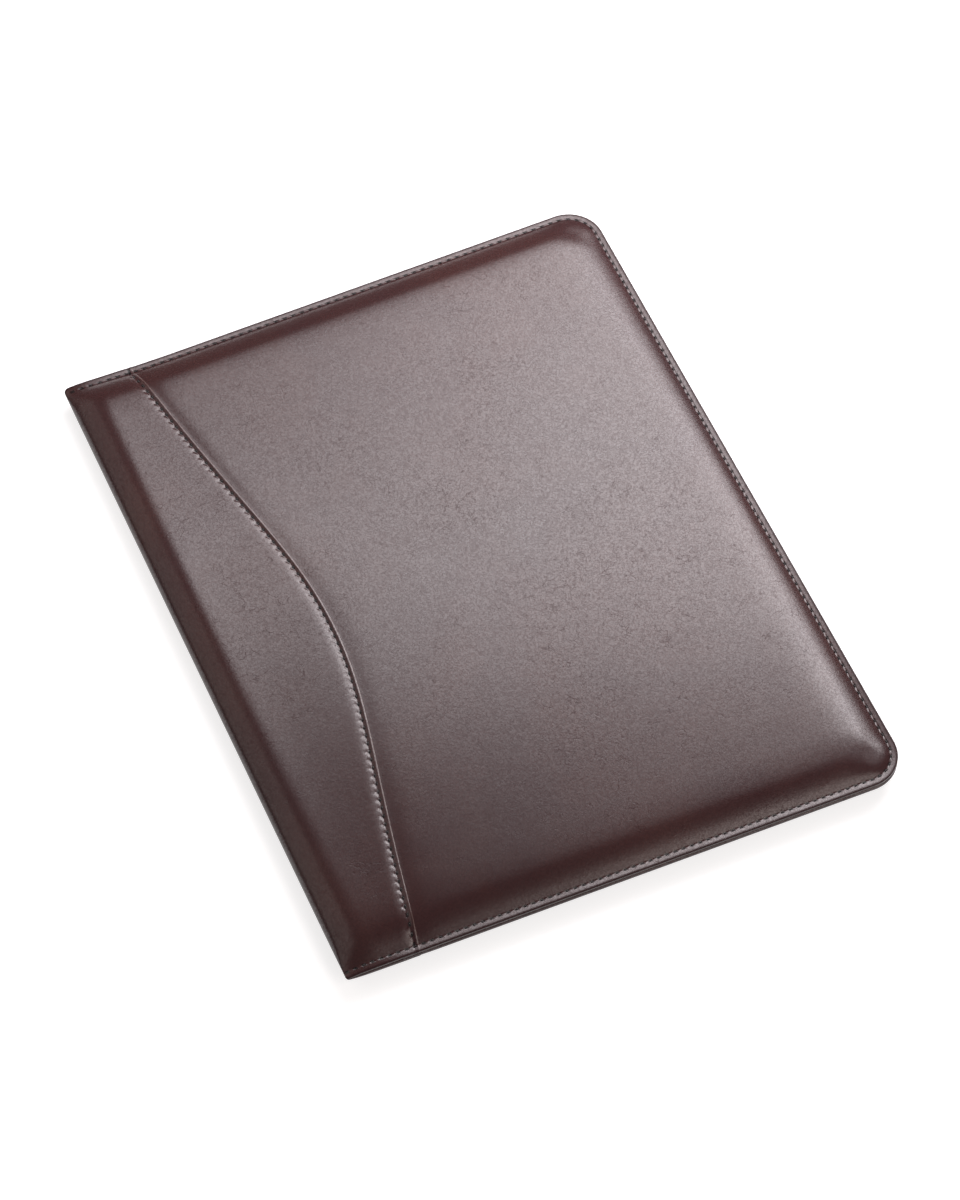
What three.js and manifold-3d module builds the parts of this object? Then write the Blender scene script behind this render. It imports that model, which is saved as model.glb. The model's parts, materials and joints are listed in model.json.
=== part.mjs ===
// Writing portfolio, closed, lying on its rear cover.
// Millimetres. X runs from the spine to the fore-edge, Y up the page, Z up.
// The origin is on the surface it lies on, under the middle of its outline.

import * as THREE from 'three';
import { mergeVertices } from 'three/addons/utils/BufferGeometryUtils.js';
import Module from 'manifold-3d';

const wasm = await Module();
wasm.setup();

// Writing pad, and the margins that the covers leave around it
const padWidth = 215.9;
const padHeight = 279.4;
const padForeEdgeMargin = 11.95;
const padEndMargin = 19.05;
const padLoopClearance = 1.0;
const padClearance = 0.2;
const padSheetsThickness = 2.6;
const backingThickness = 0.8;
const bindingThickness = 0.3;
const bindingDepth = 15;
const holderHeight = 186;

// Round corners of the covers at the fore-edge
const cornerRadius = 16;

// Thickness of each layer
const leatherThickness = 1.1;
const overlayThickness = 1.0;
const foamThickness = 1.8;
const boardThickness = 1.5;
const liningThickness = 0.5;
const pocketThickness = 0.5;
const holderThickness = 0.5;
const layerGap = 0.1;

// Sewn rim and the shoulder that rises from it to the padded middle
const rimWidth = 4.2;
const shoulderWidth = 12;
const shoulderPower = 2.2;
const liningShoulderSetback = 1;
const liningShoulderWidth = 5;
const liningShoulderPower = 1.6;
const rimParting = 0.3;
const rimOverlayThickness = 0.65;
const rimBuriedThickness = 0.45;
const boardInset = 12.4;
const boardCornerRadius = 10;
const foamClearance = 0.3;
const foamEdgeThickness = 0.15;
const foamSetback = 0.2;
const facingWidth = 11.5;
const facingCornerRadius = 6;
const liningGap = 0.3;
const partingRise = 2.35;

// Overlay panel that wraps the spine, and its curved sewn edge
const overlayReachMiddle = 58.9;
const overlayReachEnds = 30.6;
const seamMiddleHandle = 42.8;
const seamEndHandle = 89.4;
const seamEndSlope = 0.167;
const underlap = 8;
const frontOverlayDrop = 0.4;
const seamClearance = 0.3;
const seamHollowWidth = 1.5;

// Fold lines of the rounded spine, and what it holds
const foldInset = 5;
const foldClearance = 0.15;
const stiffenerThickness = 1.0;
const stiffenerHeight = 5;
const stiffenerEndInset = 20;
const spineLiningEndInset = 8;

// Pen loop in the gutter
const penLoopWidth = 7.4;
const penLoopHeight = 7.4;
const penLoopWall = 1.0;
const penLoopCorner = 1.9;
const penLoopLength = 42;
const penLoopTabLength = 5.6;
const penLoopTabThickness = 0.6;
const penLoopBelowPadTop = 119.7;
const penLoopOffset = 0.8;
const gutterClearance = 0.6;
const gutterSlope = 2;
const gutterEndInset = 14;

// Pockets inside the front cover
const pocketHeightAtSpine = 242;
const pocketHeightAtForeEdge = 206;
const cardPocketHeight = 62;
const cardPocketSpacing = 12;
const cardPocketMargin = 6;
const cardPocketRise = 54;
const thumbNotchWidth = 22;
const thumbNotchDepth = 7;

// Steps of the faceted surfaces
const shoulderSteps = [0, 0.08, 0.2, 0.36, 0.6, 1];
const rowsBetweenShoulders = 13;
const columnsBetweenShoulders = 3;
const leastStep = 0.5;
const surfaceSlack = 0.1;
const rowsOnRoll = 3;
const columnsOnRoll = 4;
const columnsToSeam = 2;
const cutterReach = 20;
const cutterTop = 60;
const cornerSegments = 8;
const loopCornerSegments = 3;
const rollSegments = 12;
const seamHalvings = 30;
const mergeTolerance = 0.0001;

// The covers are sized by the pad, and the spine's depth by the pen loop
const rollDepth = foldInset + penLoopOffset + penLoopWidth + gutterClearance;
const padSpineInset = foldInset + penLoopOffset + penLoopWidth + penLoopTabLength + padLoopClearance;
const coverWidth = padSpineInset + padWidth + padForeEdgeMargin;
const coverHeight = padHeight + 2 * padEndMargin;

// Places worked out from the sizes above
const spineX = -coverWidth / 2;
const foreEdgeX = coverWidth / 2;
const headY = coverHeight / 2;
const rollStart = spineX + rollDepth;
const foldX = spineX + foldInset;
const boardLeft = rollStart + gutterSlope;
const boardRight = foreEdgeX - boardInset;
const boardTail = boardInset - headY;
const cardPocketWidth = (boardRight - boardLeft - cardPocketSpacing) / 2 - cardPocketMargin;

// Heights above the plane where the two rims meet, outward on each cover
const rimLiningInner = rimParting / 2;
const rimLiningOuter = rimLiningInner + liningThickness;
const rimLeatherInner = rimLiningOuter + layerGap;
const rimLeatherOuter = rimLeatherInner + leatherThickness;
const rimBuriedOuter = rimLeatherInner + rimBuriedThickness;
const rimOverlayInner = rimBuriedOuter + layerGap;
const rimOverlayOuter = rimOverlayInner + rimOverlayThickness;

// Heights of one cover's layers over its padded middle, from the lining outward
function coverStack(liningInner, overlayDrop) {
  const liningOuter = liningInner + liningThickness;
  const boardInner = liningOuter + layerGap;
  const boardOuter = boardInner + boardThickness;
  const foamInner = boardOuter + layerGap;
  const leatherInner = foamInner + foamThickness + layerGap;
  const leatherOuter = leatherInner + leatherThickness;
  const buriedInner = leatherInner - overlayDrop;
  const buriedOuter = leatherOuter - overlayDrop;
  const overlayInner = buriedOuter + layerGap;
  const overlayOuter = overlayInner + overlayThickness;
  return {
    liningInner, liningOuter, boardInner, boardOuter, foamInner, leatherInner,
    leatherOuter, buriedInner, buriedOuter, overlayInner, overlayOuter,
  };
}

// The rear overlay lies flush with the rear panel, so that the covers rest flat
const rear = coverStack(partingRise, overlayThickness + layerGap);
const partingZ = rear.leatherOuter;

// The pad stands on the rear lining, and the pockets clear its top
const backingBottom = partingZ - rear.liningInner + layerGap;
const backingTop = backingBottom + backingThickness;
const holderBottom = backingTop + layerGap;
const sheetsBottom = holderBottom + holderThickness + layerGap;
const sheetsTop = sheetsBottom + padSheetsThickness;
const bindingBottom = sheetsTop + layerGap;
const bindingTop = bindingBottom + bindingThickness;
const cardPocketZ = bindingTop + padClearance;
const pocketZ = cardPocketZ + pocketThickness + layerGap;
const frontLiningZ = pocketZ + pocketThickness + layerGap;
const front = coverStack(frontLiningZ - partingZ, frontOverlayDrop);

const padLeft = spineX + padSpineInset;
const padRight = padLeft + padWidth;
const padTop = padHeight / 2;
const penLoopLeft = foldX + penLoopOffset;
const penLoopRight = penLoopLeft + penLoopWidth;
const penLoopBottom = backingBottom;
const penLoopMiddle = padTop - penLoopBelowPadTop;
const gutterLift = penLoopBottom + penLoopHeight + padClearance;

// Which way each cover's layers go from the plane where the rims meet
const frontSide = 1;
const rearSide = -1;

// Distance inward from the sewn edge, which the spine side doesn't have
function insetAt(x, y) {
  const fromForeEdge = foreEdgeX - x;
  const fromEnd = headY - Math.abs(y);
  if (fromForeEdge < cornerRadius && fromEnd < cornerRadius) {
    return cornerRadius - Math.hypot(cornerRadius - fromForeEdge, cornerRadius - fromEnd);
  }
  return Math.min(fromForeEdge, fromEnd);
}

// From 0 on the rim to 1 on the padded middle
function rise(inset, width) {
  const t = THREE.MathUtils.clamp((inset - rimWidth) / width, 0, 1);
  return 1 - (1 - t) ** shoulderPower;
}

function between(atRim, atMiddle, inset, width = shoulderWidth) {
  return THREE.MathUtils.lerp(atRim, atMiddle, rise(inset, width));
}

// How far the roll of the spine has closed in at x, 1 where it starts
function rollFactor(x, wall) {
  const along = Math.max(rollStart - x, 0) / (rollDepth - wall);
  return Math.sqrt(Math.max(1 - along * along, 0));
}

// Middle and half height of the spine roll, at an inset from the head or tail
function rollCentre(inset) {
  const low = between(rimOverlayOuter, rear.overlayOuter, inset);
  const high = between(rimOverlayOuter, front.overlayOuter, inset);
  return { z: partingZ + (high - low) / 2, halfHeight: (high + low) / 2 };
}

// One half of the overlay's curved edge: reach from the spine against height
const seamHalf = new THREE.CubicBezierCurve(
  new THREE.Vector2(overlayReachMiddle, 0),
  new THREE.Vector2(overlayReachMiddle, seamMiddleHandle),
  new THREE.Vector2(overlayReachEnds + seamEndSlope * seamEndHandle, headY - seamEndHandle),
  new THREE.Vector2(overlayReachEnds, headY),
);

function seamX(y) {
  const height = Math.abs(y);
  let low = 0;
  let high = 1;
  for (let halving = 0; halving < seamHalvings; halving += 1) {
    const middle = (low + high) / 2;
    if (seamHalf.getPoint(middle).y < height) {
      low = middle;
    } else {
      high = middle;
    }
  }
  return spineX + seamHalf.getPoint(low).x;
}

// Insets where a sheet gets a row or column, from its own edge up its shoulder
function shoulderInsets(width, inset, start) {
  const steps = shoulderSteps.map((step) => start + step * width);
  const toCorner = [1 / 3, 2 / 3, 1].map((share) => (
    THREE.MathUtils.lerp(start + width, cornerRadius, share)));
  const all = start + width < cornerRadius ? [...steps, ...toCorner] : steps;
  return [inset, ...all.filter((value) => value > inset + leastStep)];
}

// Row heights: close together on the two shoulders, wider between them
function rowHeights(width, inset = 0, count = rowsBetweenShoulders, start = rimWidth) {
  const insets = shoulderInsets(width, inset, start);
  const low = insets.map((value) => value - headY);
  const last = low[low.length - 1];
  const middle = [];
  for (let row = 1; row < count; row += 1) {
    middle.push(last - (2 * last * row) / count);
  }
  return [...low, ...middle, ...low.map((value) => -value).reverse()];
}

// Columns near the fore-edge, at the same insets as the rows
function foreEdgeColumns(width, inset = 0, start = rimWidth) {
  return shoulderInsets(width, inset, start).reverse().map((value) => () => foreEdgeX - value);
}

// Evenly spaced columns from one edge to another, without the two edges
function columnsBetween(from, to, count) {
  const columns = [];
  for (let column = 1; column < count; column += 1) {
    columns.push((y) => THREE.MathUtils.lerp(from(y), to(y), column / count));
  }
  return columns;
}

// Closed sheet between two surfaces, on rows of points at the columns' places
function sheetGeometry(columns, rows, topAt, bottomAt) {
  const positions = [];
  for (const surfaceAt of [topAt, bottomAt]) {
    for (const y of rows) {
      for (const columnAt of columns) {
        const x = columnAt(y);
        positions.push(x, y, surfaceAt(x, y));
      }
    }
  }
  const across = columns.length;
  const side = rows.length * across;
  const indices = [];
  const quad = (a, b, c, d) => indices.push(a, b, c, a, c, d);
  for (let row = 0; row < rows.length - 1; row += 1) {
    for (let column = 0; column < across - 1; column += 1) {
      const a = row * across + column;
      quad(a, a + 1, a + across + 1, a + across);
      quad(side + a, side + a + across, side + a + across + 1, side + a + 1);
    }
  }
  for (let column = 0; column < across - 1; column += 1) {
    const far = side - across + column;
    quad(column, side + column, side + column + 1, column + 1);
    quad(far, far + 1, side + far + 1, side + far);
  }
  for (let row = 0; row < rows.length - 1; row += 1) {
    const a = row * across;
    const b = a + across - 1;
    quad(a, a + across, side + a + across, side + a);
    quad(b, side + b, side + b + across, b + across);
  }
  const geometry = new THREE.BufferGeometry();
  geometry.setAttribute('position', new THREE.Float32BufferAttribute(positions, 3));
  geometry.setIndex(indices);
  return geometry;
}

// A sheet of one cover, with its outer and inner heights counted outward
function coverSheet(side, columns, rows, outerAt, innerAt) {
  const outerZ = (x, y) => partingZ + side * outerAt(x, y);
  const innerZ = (x, y) => partingZ + side * innerAt(x, y);
  return side > 0
    ? sheetGeometry(columns, rows, outerZ, innerZ)
    : sheetGeometry(columns, rows, innerZ, outerZ);
}

// Outline with a square spine side and two round fore-edge corners
function coverOutline(left, inset, radius, top = headY - inset) {
  const right = foreEdgeX - inset;
  const end = headY - inset;
  const outline = new THREE.Shape();
  outline.moveTo(left, -end);
  outline.lineTo(right - radius, -end);
  outline.absarc(right - radius, -end + radius, radius, -Math.PI / 2, 0);
  outline.lineTo(right, top - radius);
  outline.absarc(right - radius, top - radius, radius, 0, Math.PI / 2);
  outline.lineTo(left, top);
  outline.closePath();
  return outline;
}

function plate(shape, bottom, top) {
  const geometry = new THREE.ExtrudeGeometry(shape, {
    depth: top - bottom,
    bevelEnabled: false,
    curveSegments: cornerSegments,
  });
  geometry.translate(0, 0, bottom);
  return geometry;
}

function toSolid(geometry) {
  const bare = geometry.clone();
  bare.deleteAttribute('normal');
  bare.deleteAttribute('uv');
  const merged = mergeVertices(bare, mergeTolerance);
  return new wasm.Manifold(new wasm.Mesh({
    numProp: 3,
    vertProperties: new Float32Array(merged.attributes.position.array),
    triVerts: new Uint32Array(merged.index.array),
  }));
}

function toGeometry(solid) {
  const mesh = solid.getMesh();
  const geometry = new THREE.BufferGeometry();
  geometry.setAttribute('position', new THREE.BufferAttribute(mesh.vertProperties, 3));
  geometry.setIndex(new THREE.BufferAttribute(mesh.triVerts, 1));
  return geometry;
}

// Rounds a sheet's fore-edge corners
function cutToOutline(geometry, inset = 0, radius = cornerRadius) {
  const outline = coverOutline(spineX - cutterReach, inset, radius);
  const cutter = plate(outline, -cutterReach, cutterTop);
  return toGeometry(toSolid(geometry).intersect(toSolid(cutter)));
}

// The padded leather of a cover, which dips under the overlay at its seam
function panelLeather(side, stack) {
  const hidden = (x, y) => x < seamX(y) + seamClearance + surfaceSlack;
  const outerAt = (x, y) => {
    const inset = insetAt(x, y);
    return hidden(x, y)
      ? between(rimBuriedOuter, stack.buriedOuter, inset)
      : between(rimLeatherOuter, stack.leatherOuter, inset);
  };
  const innerAt = (x, y) => {
    const inset = insetAt(x, y);
    return hidden(x, y)
      ? between(rimLeatherInner, stack.buriedInner, inset)
      : between(rimLeatherInner, stack.leatherInner, inset);
  };
  const hollowEnd = (y) => seamX(y) + seamHollowWidth;
  const edge = foreEdgeColumns(shoulderWidth);
  const columns = [
    (y) => seamX(y) - underlap,
    (y) => seamX(y) + seamClearance,
    hollowEnd,
    ...columnsBetween(hollowEnd, edge[0], columnsBetweenShoulders),
    ...edge,
  ];
  return cutToOutline(coverSheet(side, columns, rowHeights(shoulderWidth), outerAt, innerAt));
}

// The overlay from the fold line to its curved edge
function overlayLeather(side, stack) {
  const outerAt = (x, y) => {
    const inset = insetAt(x, y);
    const offset = side * (rollCentre(inset).z - partingZ);
    const flat = between(rimOverlayOuter, stack.overlayOuter, inset);
    return offset + (flat - offset) * rollFactor(x, 0);
  };
  const innerAt = (x, y) => {
    const inset = insetAt(x, y);
    const offset = side * (rollCentre(inset).z - partingZ);
    const flat = between(rimOverlayInner, stack.overlayInner, inset);
    return offset + (flat - offset) * rollFactor(x, overlayThickness);
  };
  const fold = () => foldX + foldClearance;
  const rollEnd = () => rollStart;
  const columns = [
    fold,
    ...columnsBetween(fold, rollEnd, columnsOnRoll),
    rollEnd,
    ...columnsBetween(rollEnd, seamX, columnsToSeam),
    seamX,
  ];
  return coverSheet(side, columns, rowHeights(shoulderWidth), outerAt, innerAt);
}

// Foam over the board, its outer face under the leather that covers it
function foamPad(side, stack) {
  const inset = boardInset + foamSetback;
  const dipStart = (y) => seamX(y) - underlap - seamClearance;
  const dipEnd = (y) => seamX(y) + seamHollowWidth;
  const outerAt = (x, y) => {
    const depth = insetAt(x, y);
    const buried = x > dipStart(y) - surfaceSlack && x < dipEnd(y) - surfaceSlack;
    const open = x < dipStart(y) ? stack.overlayInner : stack.leatherInner;
    const under = between(rimLeatherInner, buried ? stack.buriedInner : open, depth);
    return Math.max(under - foamClearance, stack.foamInner + foamEdgeThickness);
  };
  const innerAt = () => stack.foamInner;
  const left = () => boardLeft;
  const edge = foreEdgeColumns(shoulderWidth, inset);
  const columns = [
    left,
    (y) => dipStart(y) - seamHollowWidth,
    dipStart,
    (y) => seamX(y) + seamClearance,
    dipEnd,
    ...columnsBetween(dipEnd, edge[0], columnsBetweenShoulders),
    ...edge,
  ];
  const rows = rowHeights(shoulderWidth, inset);
  return cutToOutline(coverSheet(side, columns, rows, outerAt, innerAt), inset, boardCornerRadius);
}

// Facing sewn to the leather along the rim, down the shoulder to the lining
function edgeFacing(side, stack, gutterHeight) {
  const liftAt = (x, inset) => {
    const t = THREE.MathUtils.clamp((boardLeft - x) / gutterSlope, 0, 1);
    return Math.max(gutterHeight - stack.liningInner, 0) * t * rise(inset, shoulderWidth) ** 2;
  };
  const liningStart = rimWidth + liningShoulderSetback;
  const heightAt = (atRim, atMiddle) => (x, y) => {
    const inset = insetAt(x, y);
    const t = THREE.MathUtils.clamp((inset - liningStart) / liningShoulderWidth, 0, 1);
    const share = 1 - (1 - t) ** liningShoulderPower;
    return THREE.MathUtils.lerp(atRim, atMiddle, share) + liftAt(x, inset);
  };
  const edge = foreEdgeColumns(liningShoulderWidth, 0, liningStart);
  const columns = [
    () => foldX + foldClearance,
    () => rollStart,
    () => boardLeft,
    ...columnsBetween(() => boardLeft, edge[0], columnsBetweenShoulders),
    ...edge,
  ];
  const outerAt = heightAt(rimLiningOuter, stack.liningOuter);
  const innerAt = heightAt(rimLiningInner, stack.liningInner);
  const rows = rowHeights(liningShoulderWidth, 0, rowsOnRoll, liningStart);
  const whole = cutToOutline(coverSheet(side, columns, rows, outerAt, innerAt));
  const middle = coverOutline(spineX - cutterReach, facingWidth, facingCornerRadius);
  const cutter = plate(middle, -cutterReach, cutterTop);
  return toGeometry(toSolid(whole).subtract(toSolid(cutter)));
}

// Flat lining over the board, inside the facing
function liningPlate(side, stack, left) {
  const inner = partingZ + side * stack.liningInner;
  const outer = partingZ + side * stack.liningOuter;
  const outline = coverOutline(left, facingWidth + liningGap, facingCornerRadius);
  return plate(outline, Math.min(inner, outer), Math.max(inner, outer));
}

// Strip over the pen loop, from the board's edge to the fold
function gutterStrip() {
  const end = headY - gutterEndInset;
  const shape = rectangle(foldX + foldClearance, boardLeft - liningGap, -end, end);
  return plate(shape, gutterLift, gutterLift + liningThickness);
}

function boardPlate(side, stack) {
  const inner = partingZ + side * stack.boardInner;
  const outer = partingZ + side * stack.boardOuter;
  const outline = coverOutline(boardLeft, boardInset, boardCornerRadius);
  return plate(outline, Math.min(inner, outer), Math.max(inner, outer));
}

// A strip of the spine roll between two depths under its outer surface
function rollStrip(outerDepth, innerDepth, angleAt, rows) {
  const positions = [];
  const around = 2 * (rollSegments + 1);
  for (const y of rows) {
    const inset = headY - Math.abs(y);
    const centre = rollCentre(inset);
    for (const [depth, turn] of [[outerDepth, 1], [innerDepth, -1]]) {
      const radiusX = rollDepth - depth(inset);
      const radiusZ = centre.halfHeight - depth(inset);
      const angle = angleAt(radiusX, radiusZ);
      for (let step = 0; step <= rollSegments; step += 1) {
        const at = turn * angle * (1 - (2 * step) / rollSegments);
        const x = rollStart - radiusX * Math.cos(at);
        positions.push(x, y, centre.z + radiusZ * Math.sin(at));
      }
    }
  }
  const indices = [];
  for (let row = 0; row < rows.length - 1; row += 1) {
    for (let step = 0; step < around; step += 1) {
      const a = row * around + step;
      const b = row * around + ((step + 1) % around);
      indices.push(a, b + around, b, a, a + around, b + around);
    }
  }
  const last = (rows.length - 1) * around;
  for (let step = 0; step < rollSegments; step += 1) {
    const back = around - 1 - step;
    indices.push(step, back - 1, back, step, step + 1, back - 1);
    indices.push(last + step, last + back - 1, last + step + 1);
    indices.push(last + step, last + back, last + back - 1);
  }
  const geometry = new THREE.BufferGeometry();
  geometry.setAttribute('position', new THREE.Float32BufferAttribute(positions, 3));
  geometry.setIndex(indices);
  return geometry;
}

// Turn from the roll's middle to where it meets the fold line
function toFoldLine(radiusX) {
  return Math.acos((rollStart - foldX + foldClearance) / radiusX);
}

function spineLeather() {
  const wall = (inset) => between(rimOverlayThickness, overlayThickness, inset);
  return rollStrip(() => 0, wall, toFoldLine, rowHeights(shoulderWidth, 0, rowsOnRoll));
}

function spineStiffener() {
  const outer = overlayThickness + layerGap;
  const reach = (radiusX, radiusZ) => Math.asin(stiffenerHeight / 2 / radiusZ);
  const end = headY - stiffenerEndInset;
  const inner = outer + stiffenerThickness;
  return rollStrip(() => outer, () => inner, reach, [-end, end]);
}

function spineLining() {
  const outer = overlayThickness + stiffenerThickness + 2 * layerGap;
  const inner = outer + liningThickness;
  const rows = rowHeights(shoulderWidth, spineLiningEndInset, rowsOnRoll);
  return rollStrip(() => outer, () => inner, toFoldLine, rows);
}

// A rounded rectangle with its lower left corner at x, y
function addRoundedOutline(path, x, y, width, height, radius) {
  path.moveTo(x + radius, y);
  path.lineTo(x + width - radius, y);
  path.absarc(x + width - radius, y + radius, radius, -Math.PI / 2, 0);
  path.lineTo(x + width, y + height - radius);
  path.absarc(x + width - radius, y + height - radius, radius, 0, Math.PI / 2);
  path.lineTo(x + radius, y + height);
  path.absarc(x + radius, y + height - radius, radius, Math.PI / 2, Math.PI);
  path.lineTo(x, y + radius);
  path.absarc(x + radius, y + radius, radius, Math.PI, 1.5 * Math.PI);
  return path;
}

// The loop's section drawn in X and Z, extruded along Y
function loopBar(section) {
  const geometry = new THREE.ExtrudeGeometry(section, {
    depth: penLoopLength,
    bevelEnabled: false,
    curveSegments: loopCornerSegments,
  });
  geometry.rotateX(Math.PI / 2);
  geometry.translate(0, penLoopMiddle + penLoopLength / 2, 0);
  return geometry;
}

// Elastic loop for a pen, with the tab that sews it to the rear lining
function penLoop() {
  const ring = addRoundedOutline(new THREE.Shape(), penLoopLeft, penLoopBottom,
    penLoopWidth, penLoopHeight, penLoopCorner);
  ring.holes.push(addRoundedOutline(new THREE.Path(), penLoopLeft + penLoopWall,
    penLoopBottom + penLoopWall, penLoopWidth - 2 * penLoopWall,
    penLoopHeight - 2 * penLoopWall, penLoopCorner - penLoopWall));
  const tab = new THREE.BoxGeometry(penLoopTabLength + penLoopCorner, penLoopLength,
    penLoopTabThickness);
  const tabX = penLoopRight - penLoopCorner + (penLoopTabLength + penLoopCorner) / 2;
  tab.translate(tabX, penLoopMiddle, penLoopBottom + penLoopTabThickness / 2);
  const loop = toSolid(loopBar(ring));
  return toGeometry(loop.add(toSolid(tab)));
}

function rectangle(left, right, bottom, top) {
  const shape = new THREE.Shape();
  shape.moveTo(left, bottom);
  shape.lineTo(right, bottom);
  shape.lineTo(right, top);
  shape.lineTo(left, top);
  shape.closePath();
  return shape;
}

// Document pocket, open along its slanted upper edge
function documentPocket() {
  const shape = new THREE.Shape();
  shape.moveTo(boardLeft, boardTail);
  shape.lineTo(boardRight - boardCornerRadius, boardTail);
  shape.absarc(boardRight - boardCornerRadius, boardTail + boardCornerRadius, boardCornerRadius,
    -Math.PI / 2, 0);
  shape.lineTo(boardRight, boardTail + pocketHeightAtForeEdge);
  shape.lineTo(boardLeft, boardTail + pocketHeightAtSpine);
  shape.closePath();
  return plate(shape, pocketZ, pocketZ + pocketThickness);
}

// Card pocket with a thumb notch in its upper edge
function cardPocket(left) {
  const right = left + cardPocketWidth;
  const bottom = boardTail + cardPocketRise;
  const top = bottom + cardPocketHeight;
  const middle = (left + right) / 2;
  const shape = new THREE.Shape();
  shape.moveTo(left, bottom);
  shape.lineTo(right, bottom);
  shape.lineTo(right, top);
  shape.lineTo(middle + thumbNotchWidth / 2, top);
  shape.quadraticCurveTo(middle, top - 2 * thumbNotchDepth, middle - thumbNotchWidth / 2, top);
  shape.lineTo(left, top);
  shape.closePath();
  return plate(shape, cardPocketZ, cardPocketZ + pocketThickness);
}

// Panel sewn over the rear lining; the pad's backing slides under it
function padHolder() {
  const left = penLoopRight + penLoopTabLength + padClearance;
  const outline = coverOutline(left, boardInset, boardCornerRadius, boardTail + holderHeight);
  return plate(outline, holderBottom, holderBottom + holderThickness);
}

function padBacking() {
  return plate(rectangle(padLeft, padRight, -padTop, padTop), backingBottom, backingTop);
}

function padSheets() {
  return plate(rectangle(padLeft, padRight, -padTop, padTop), sheetsBottom, sheetsTop);
}

// Tape over the head of the pad, from its top sheet down to its backing
function padBinding() {
  const outside = padTop + layerGap + bindingThickness;
  const section = new THREE.Shape();
  section.moveTo(padTop - bindingDepth, bindingBottom);
  section.lineTo(padTop + layerGap, bindingBottom);
  section.lineTo(padTop + layerGap, backingBottom);
  section.lineTo(outside, backingBottom);
  section.lineTo(outside, bindingTop);
  section.lineTo(padTop - bindingDepth, bindingTop);
  section.closePath();
  const geometry = new THREE.ExtrudeGeometry(section, { depth: padWidth, bevelEnabled: false });
  geometry.rotateX(Math.PI / 2);
  geometry.rotateZ(Math.PI / 2);
  geometry.translate(padLeft, 0, 0);
  return geometry;
}

function finish(color, roughness) {
  return () => new THREE.MeshStandardMaterial({ color, roughness, metalness: 0 });
}

const leatherFinish = finish('#4a2a2d', 0.42);
const liningFinish = finish('#2a2020', 0.85);
const foamFinish = finish('#c9c4b8', 0.95);
const boardFinish = finish('#8d8578', 0.9);
const pocketFinish = finish('#3d2527', 0.55);
const elasticFinish = finish('#241b1b', 0.9);
const paperFinish = finish('#f1efe6', 0.9);
const tapeFinish = finish('#5a2f33', 0.6);

const portfolio = new THREE.Group();

function addPiece(name, geometry, material) {
  const mesh = new THREE.Mesh(geometry, material());
  mesh.name = name;
  portfolio.add(mesh);
}

addPiece('front_panel_leather', panelLeather(frontSide, front), leatherFinish);
addPiece('front_overlay_leather', overlayLeather(frontSide, front), leatherFinish);
addPiece('front_foam', foamPad(frontSide, front), foamFinish);
addPiece('front_board', boardPlate(frontSide, front), boardFinish);
addPiece('front_edge_facing', edgeFacing(frontSide, front, gutterLift - partingZ), pocketFinish);
addPiece('front_lining', liningPlate(frontSide, front, boardLeft), liningFinish);
addPiece('front_gutter_lining', gutterStrip(), liningFinish);
addPiece('document_pocket', documentPocket(), pocketFinish);
const cardPocketLeft = boardLeft + cardPocketMargin;
addPiece('card_pocket_left', cardPocket(cardPocketLeft), pocketFinish);
addPiece('card_pocket_right', cardPocket(cardPocketLeft + cardPocketWidth + cardPocketSpacing),
  pocketFinish);

addPiece('spine_leather', spineLeather(), leatherFinish);
addPiece('spine_stiffener', spineStiffener(), boardFinish);
addPiece('spine_lining', spineLining(), liningFinish);

addPiece('rear_panel_leather', panelLeather(rearSide, rear), leatherFinish);
addPiece('rear_overlay_leather', overlayLeather(rearSide, rear), leatherFinish);
addPiece('rear_foam', foamPad(rearSide, rear), foamFinish);
addPiece('rear_board', boardPlate(rearSide, rear), boardFinish);
addPiece('rear_edge_facing', edgeFacing(rearSide, rear, 0), pocketFinish);
addPiece('rear_lining', liningPlate(rearSide, rear, foldX + foldClearance), liningFinish);
addPiece('pad_holder', padHolder(), pocketFinish);
addPiece('pen_loop', penLoop(), elasticFinish);

addPiece('pad_backing', padBacking(), boardFinish);
addPiece('pad_sheets', padSheets(), paperFinish);
addPiece('pad_binding', padBinding(), tapeFinish);

export default portfolio;
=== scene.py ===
import json
import math
import random

import bpy
import numpy as np
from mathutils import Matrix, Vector


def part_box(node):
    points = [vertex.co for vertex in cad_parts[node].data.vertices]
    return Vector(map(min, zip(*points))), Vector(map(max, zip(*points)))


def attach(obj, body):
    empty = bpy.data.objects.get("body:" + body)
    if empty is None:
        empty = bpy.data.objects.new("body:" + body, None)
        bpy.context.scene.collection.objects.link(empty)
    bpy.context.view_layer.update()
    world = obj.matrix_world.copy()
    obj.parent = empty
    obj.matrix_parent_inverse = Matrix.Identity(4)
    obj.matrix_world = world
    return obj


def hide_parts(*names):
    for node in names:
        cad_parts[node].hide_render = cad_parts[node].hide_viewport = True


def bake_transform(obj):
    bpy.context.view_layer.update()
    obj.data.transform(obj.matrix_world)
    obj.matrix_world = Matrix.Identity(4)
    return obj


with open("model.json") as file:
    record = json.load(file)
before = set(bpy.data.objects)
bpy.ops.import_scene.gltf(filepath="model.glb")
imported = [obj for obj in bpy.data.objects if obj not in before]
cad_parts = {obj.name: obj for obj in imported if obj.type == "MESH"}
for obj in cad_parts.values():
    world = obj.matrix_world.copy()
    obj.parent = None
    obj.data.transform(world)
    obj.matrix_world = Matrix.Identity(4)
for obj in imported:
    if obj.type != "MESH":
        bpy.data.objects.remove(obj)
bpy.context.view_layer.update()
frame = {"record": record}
random.seed(11)
mm = 0.001

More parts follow.
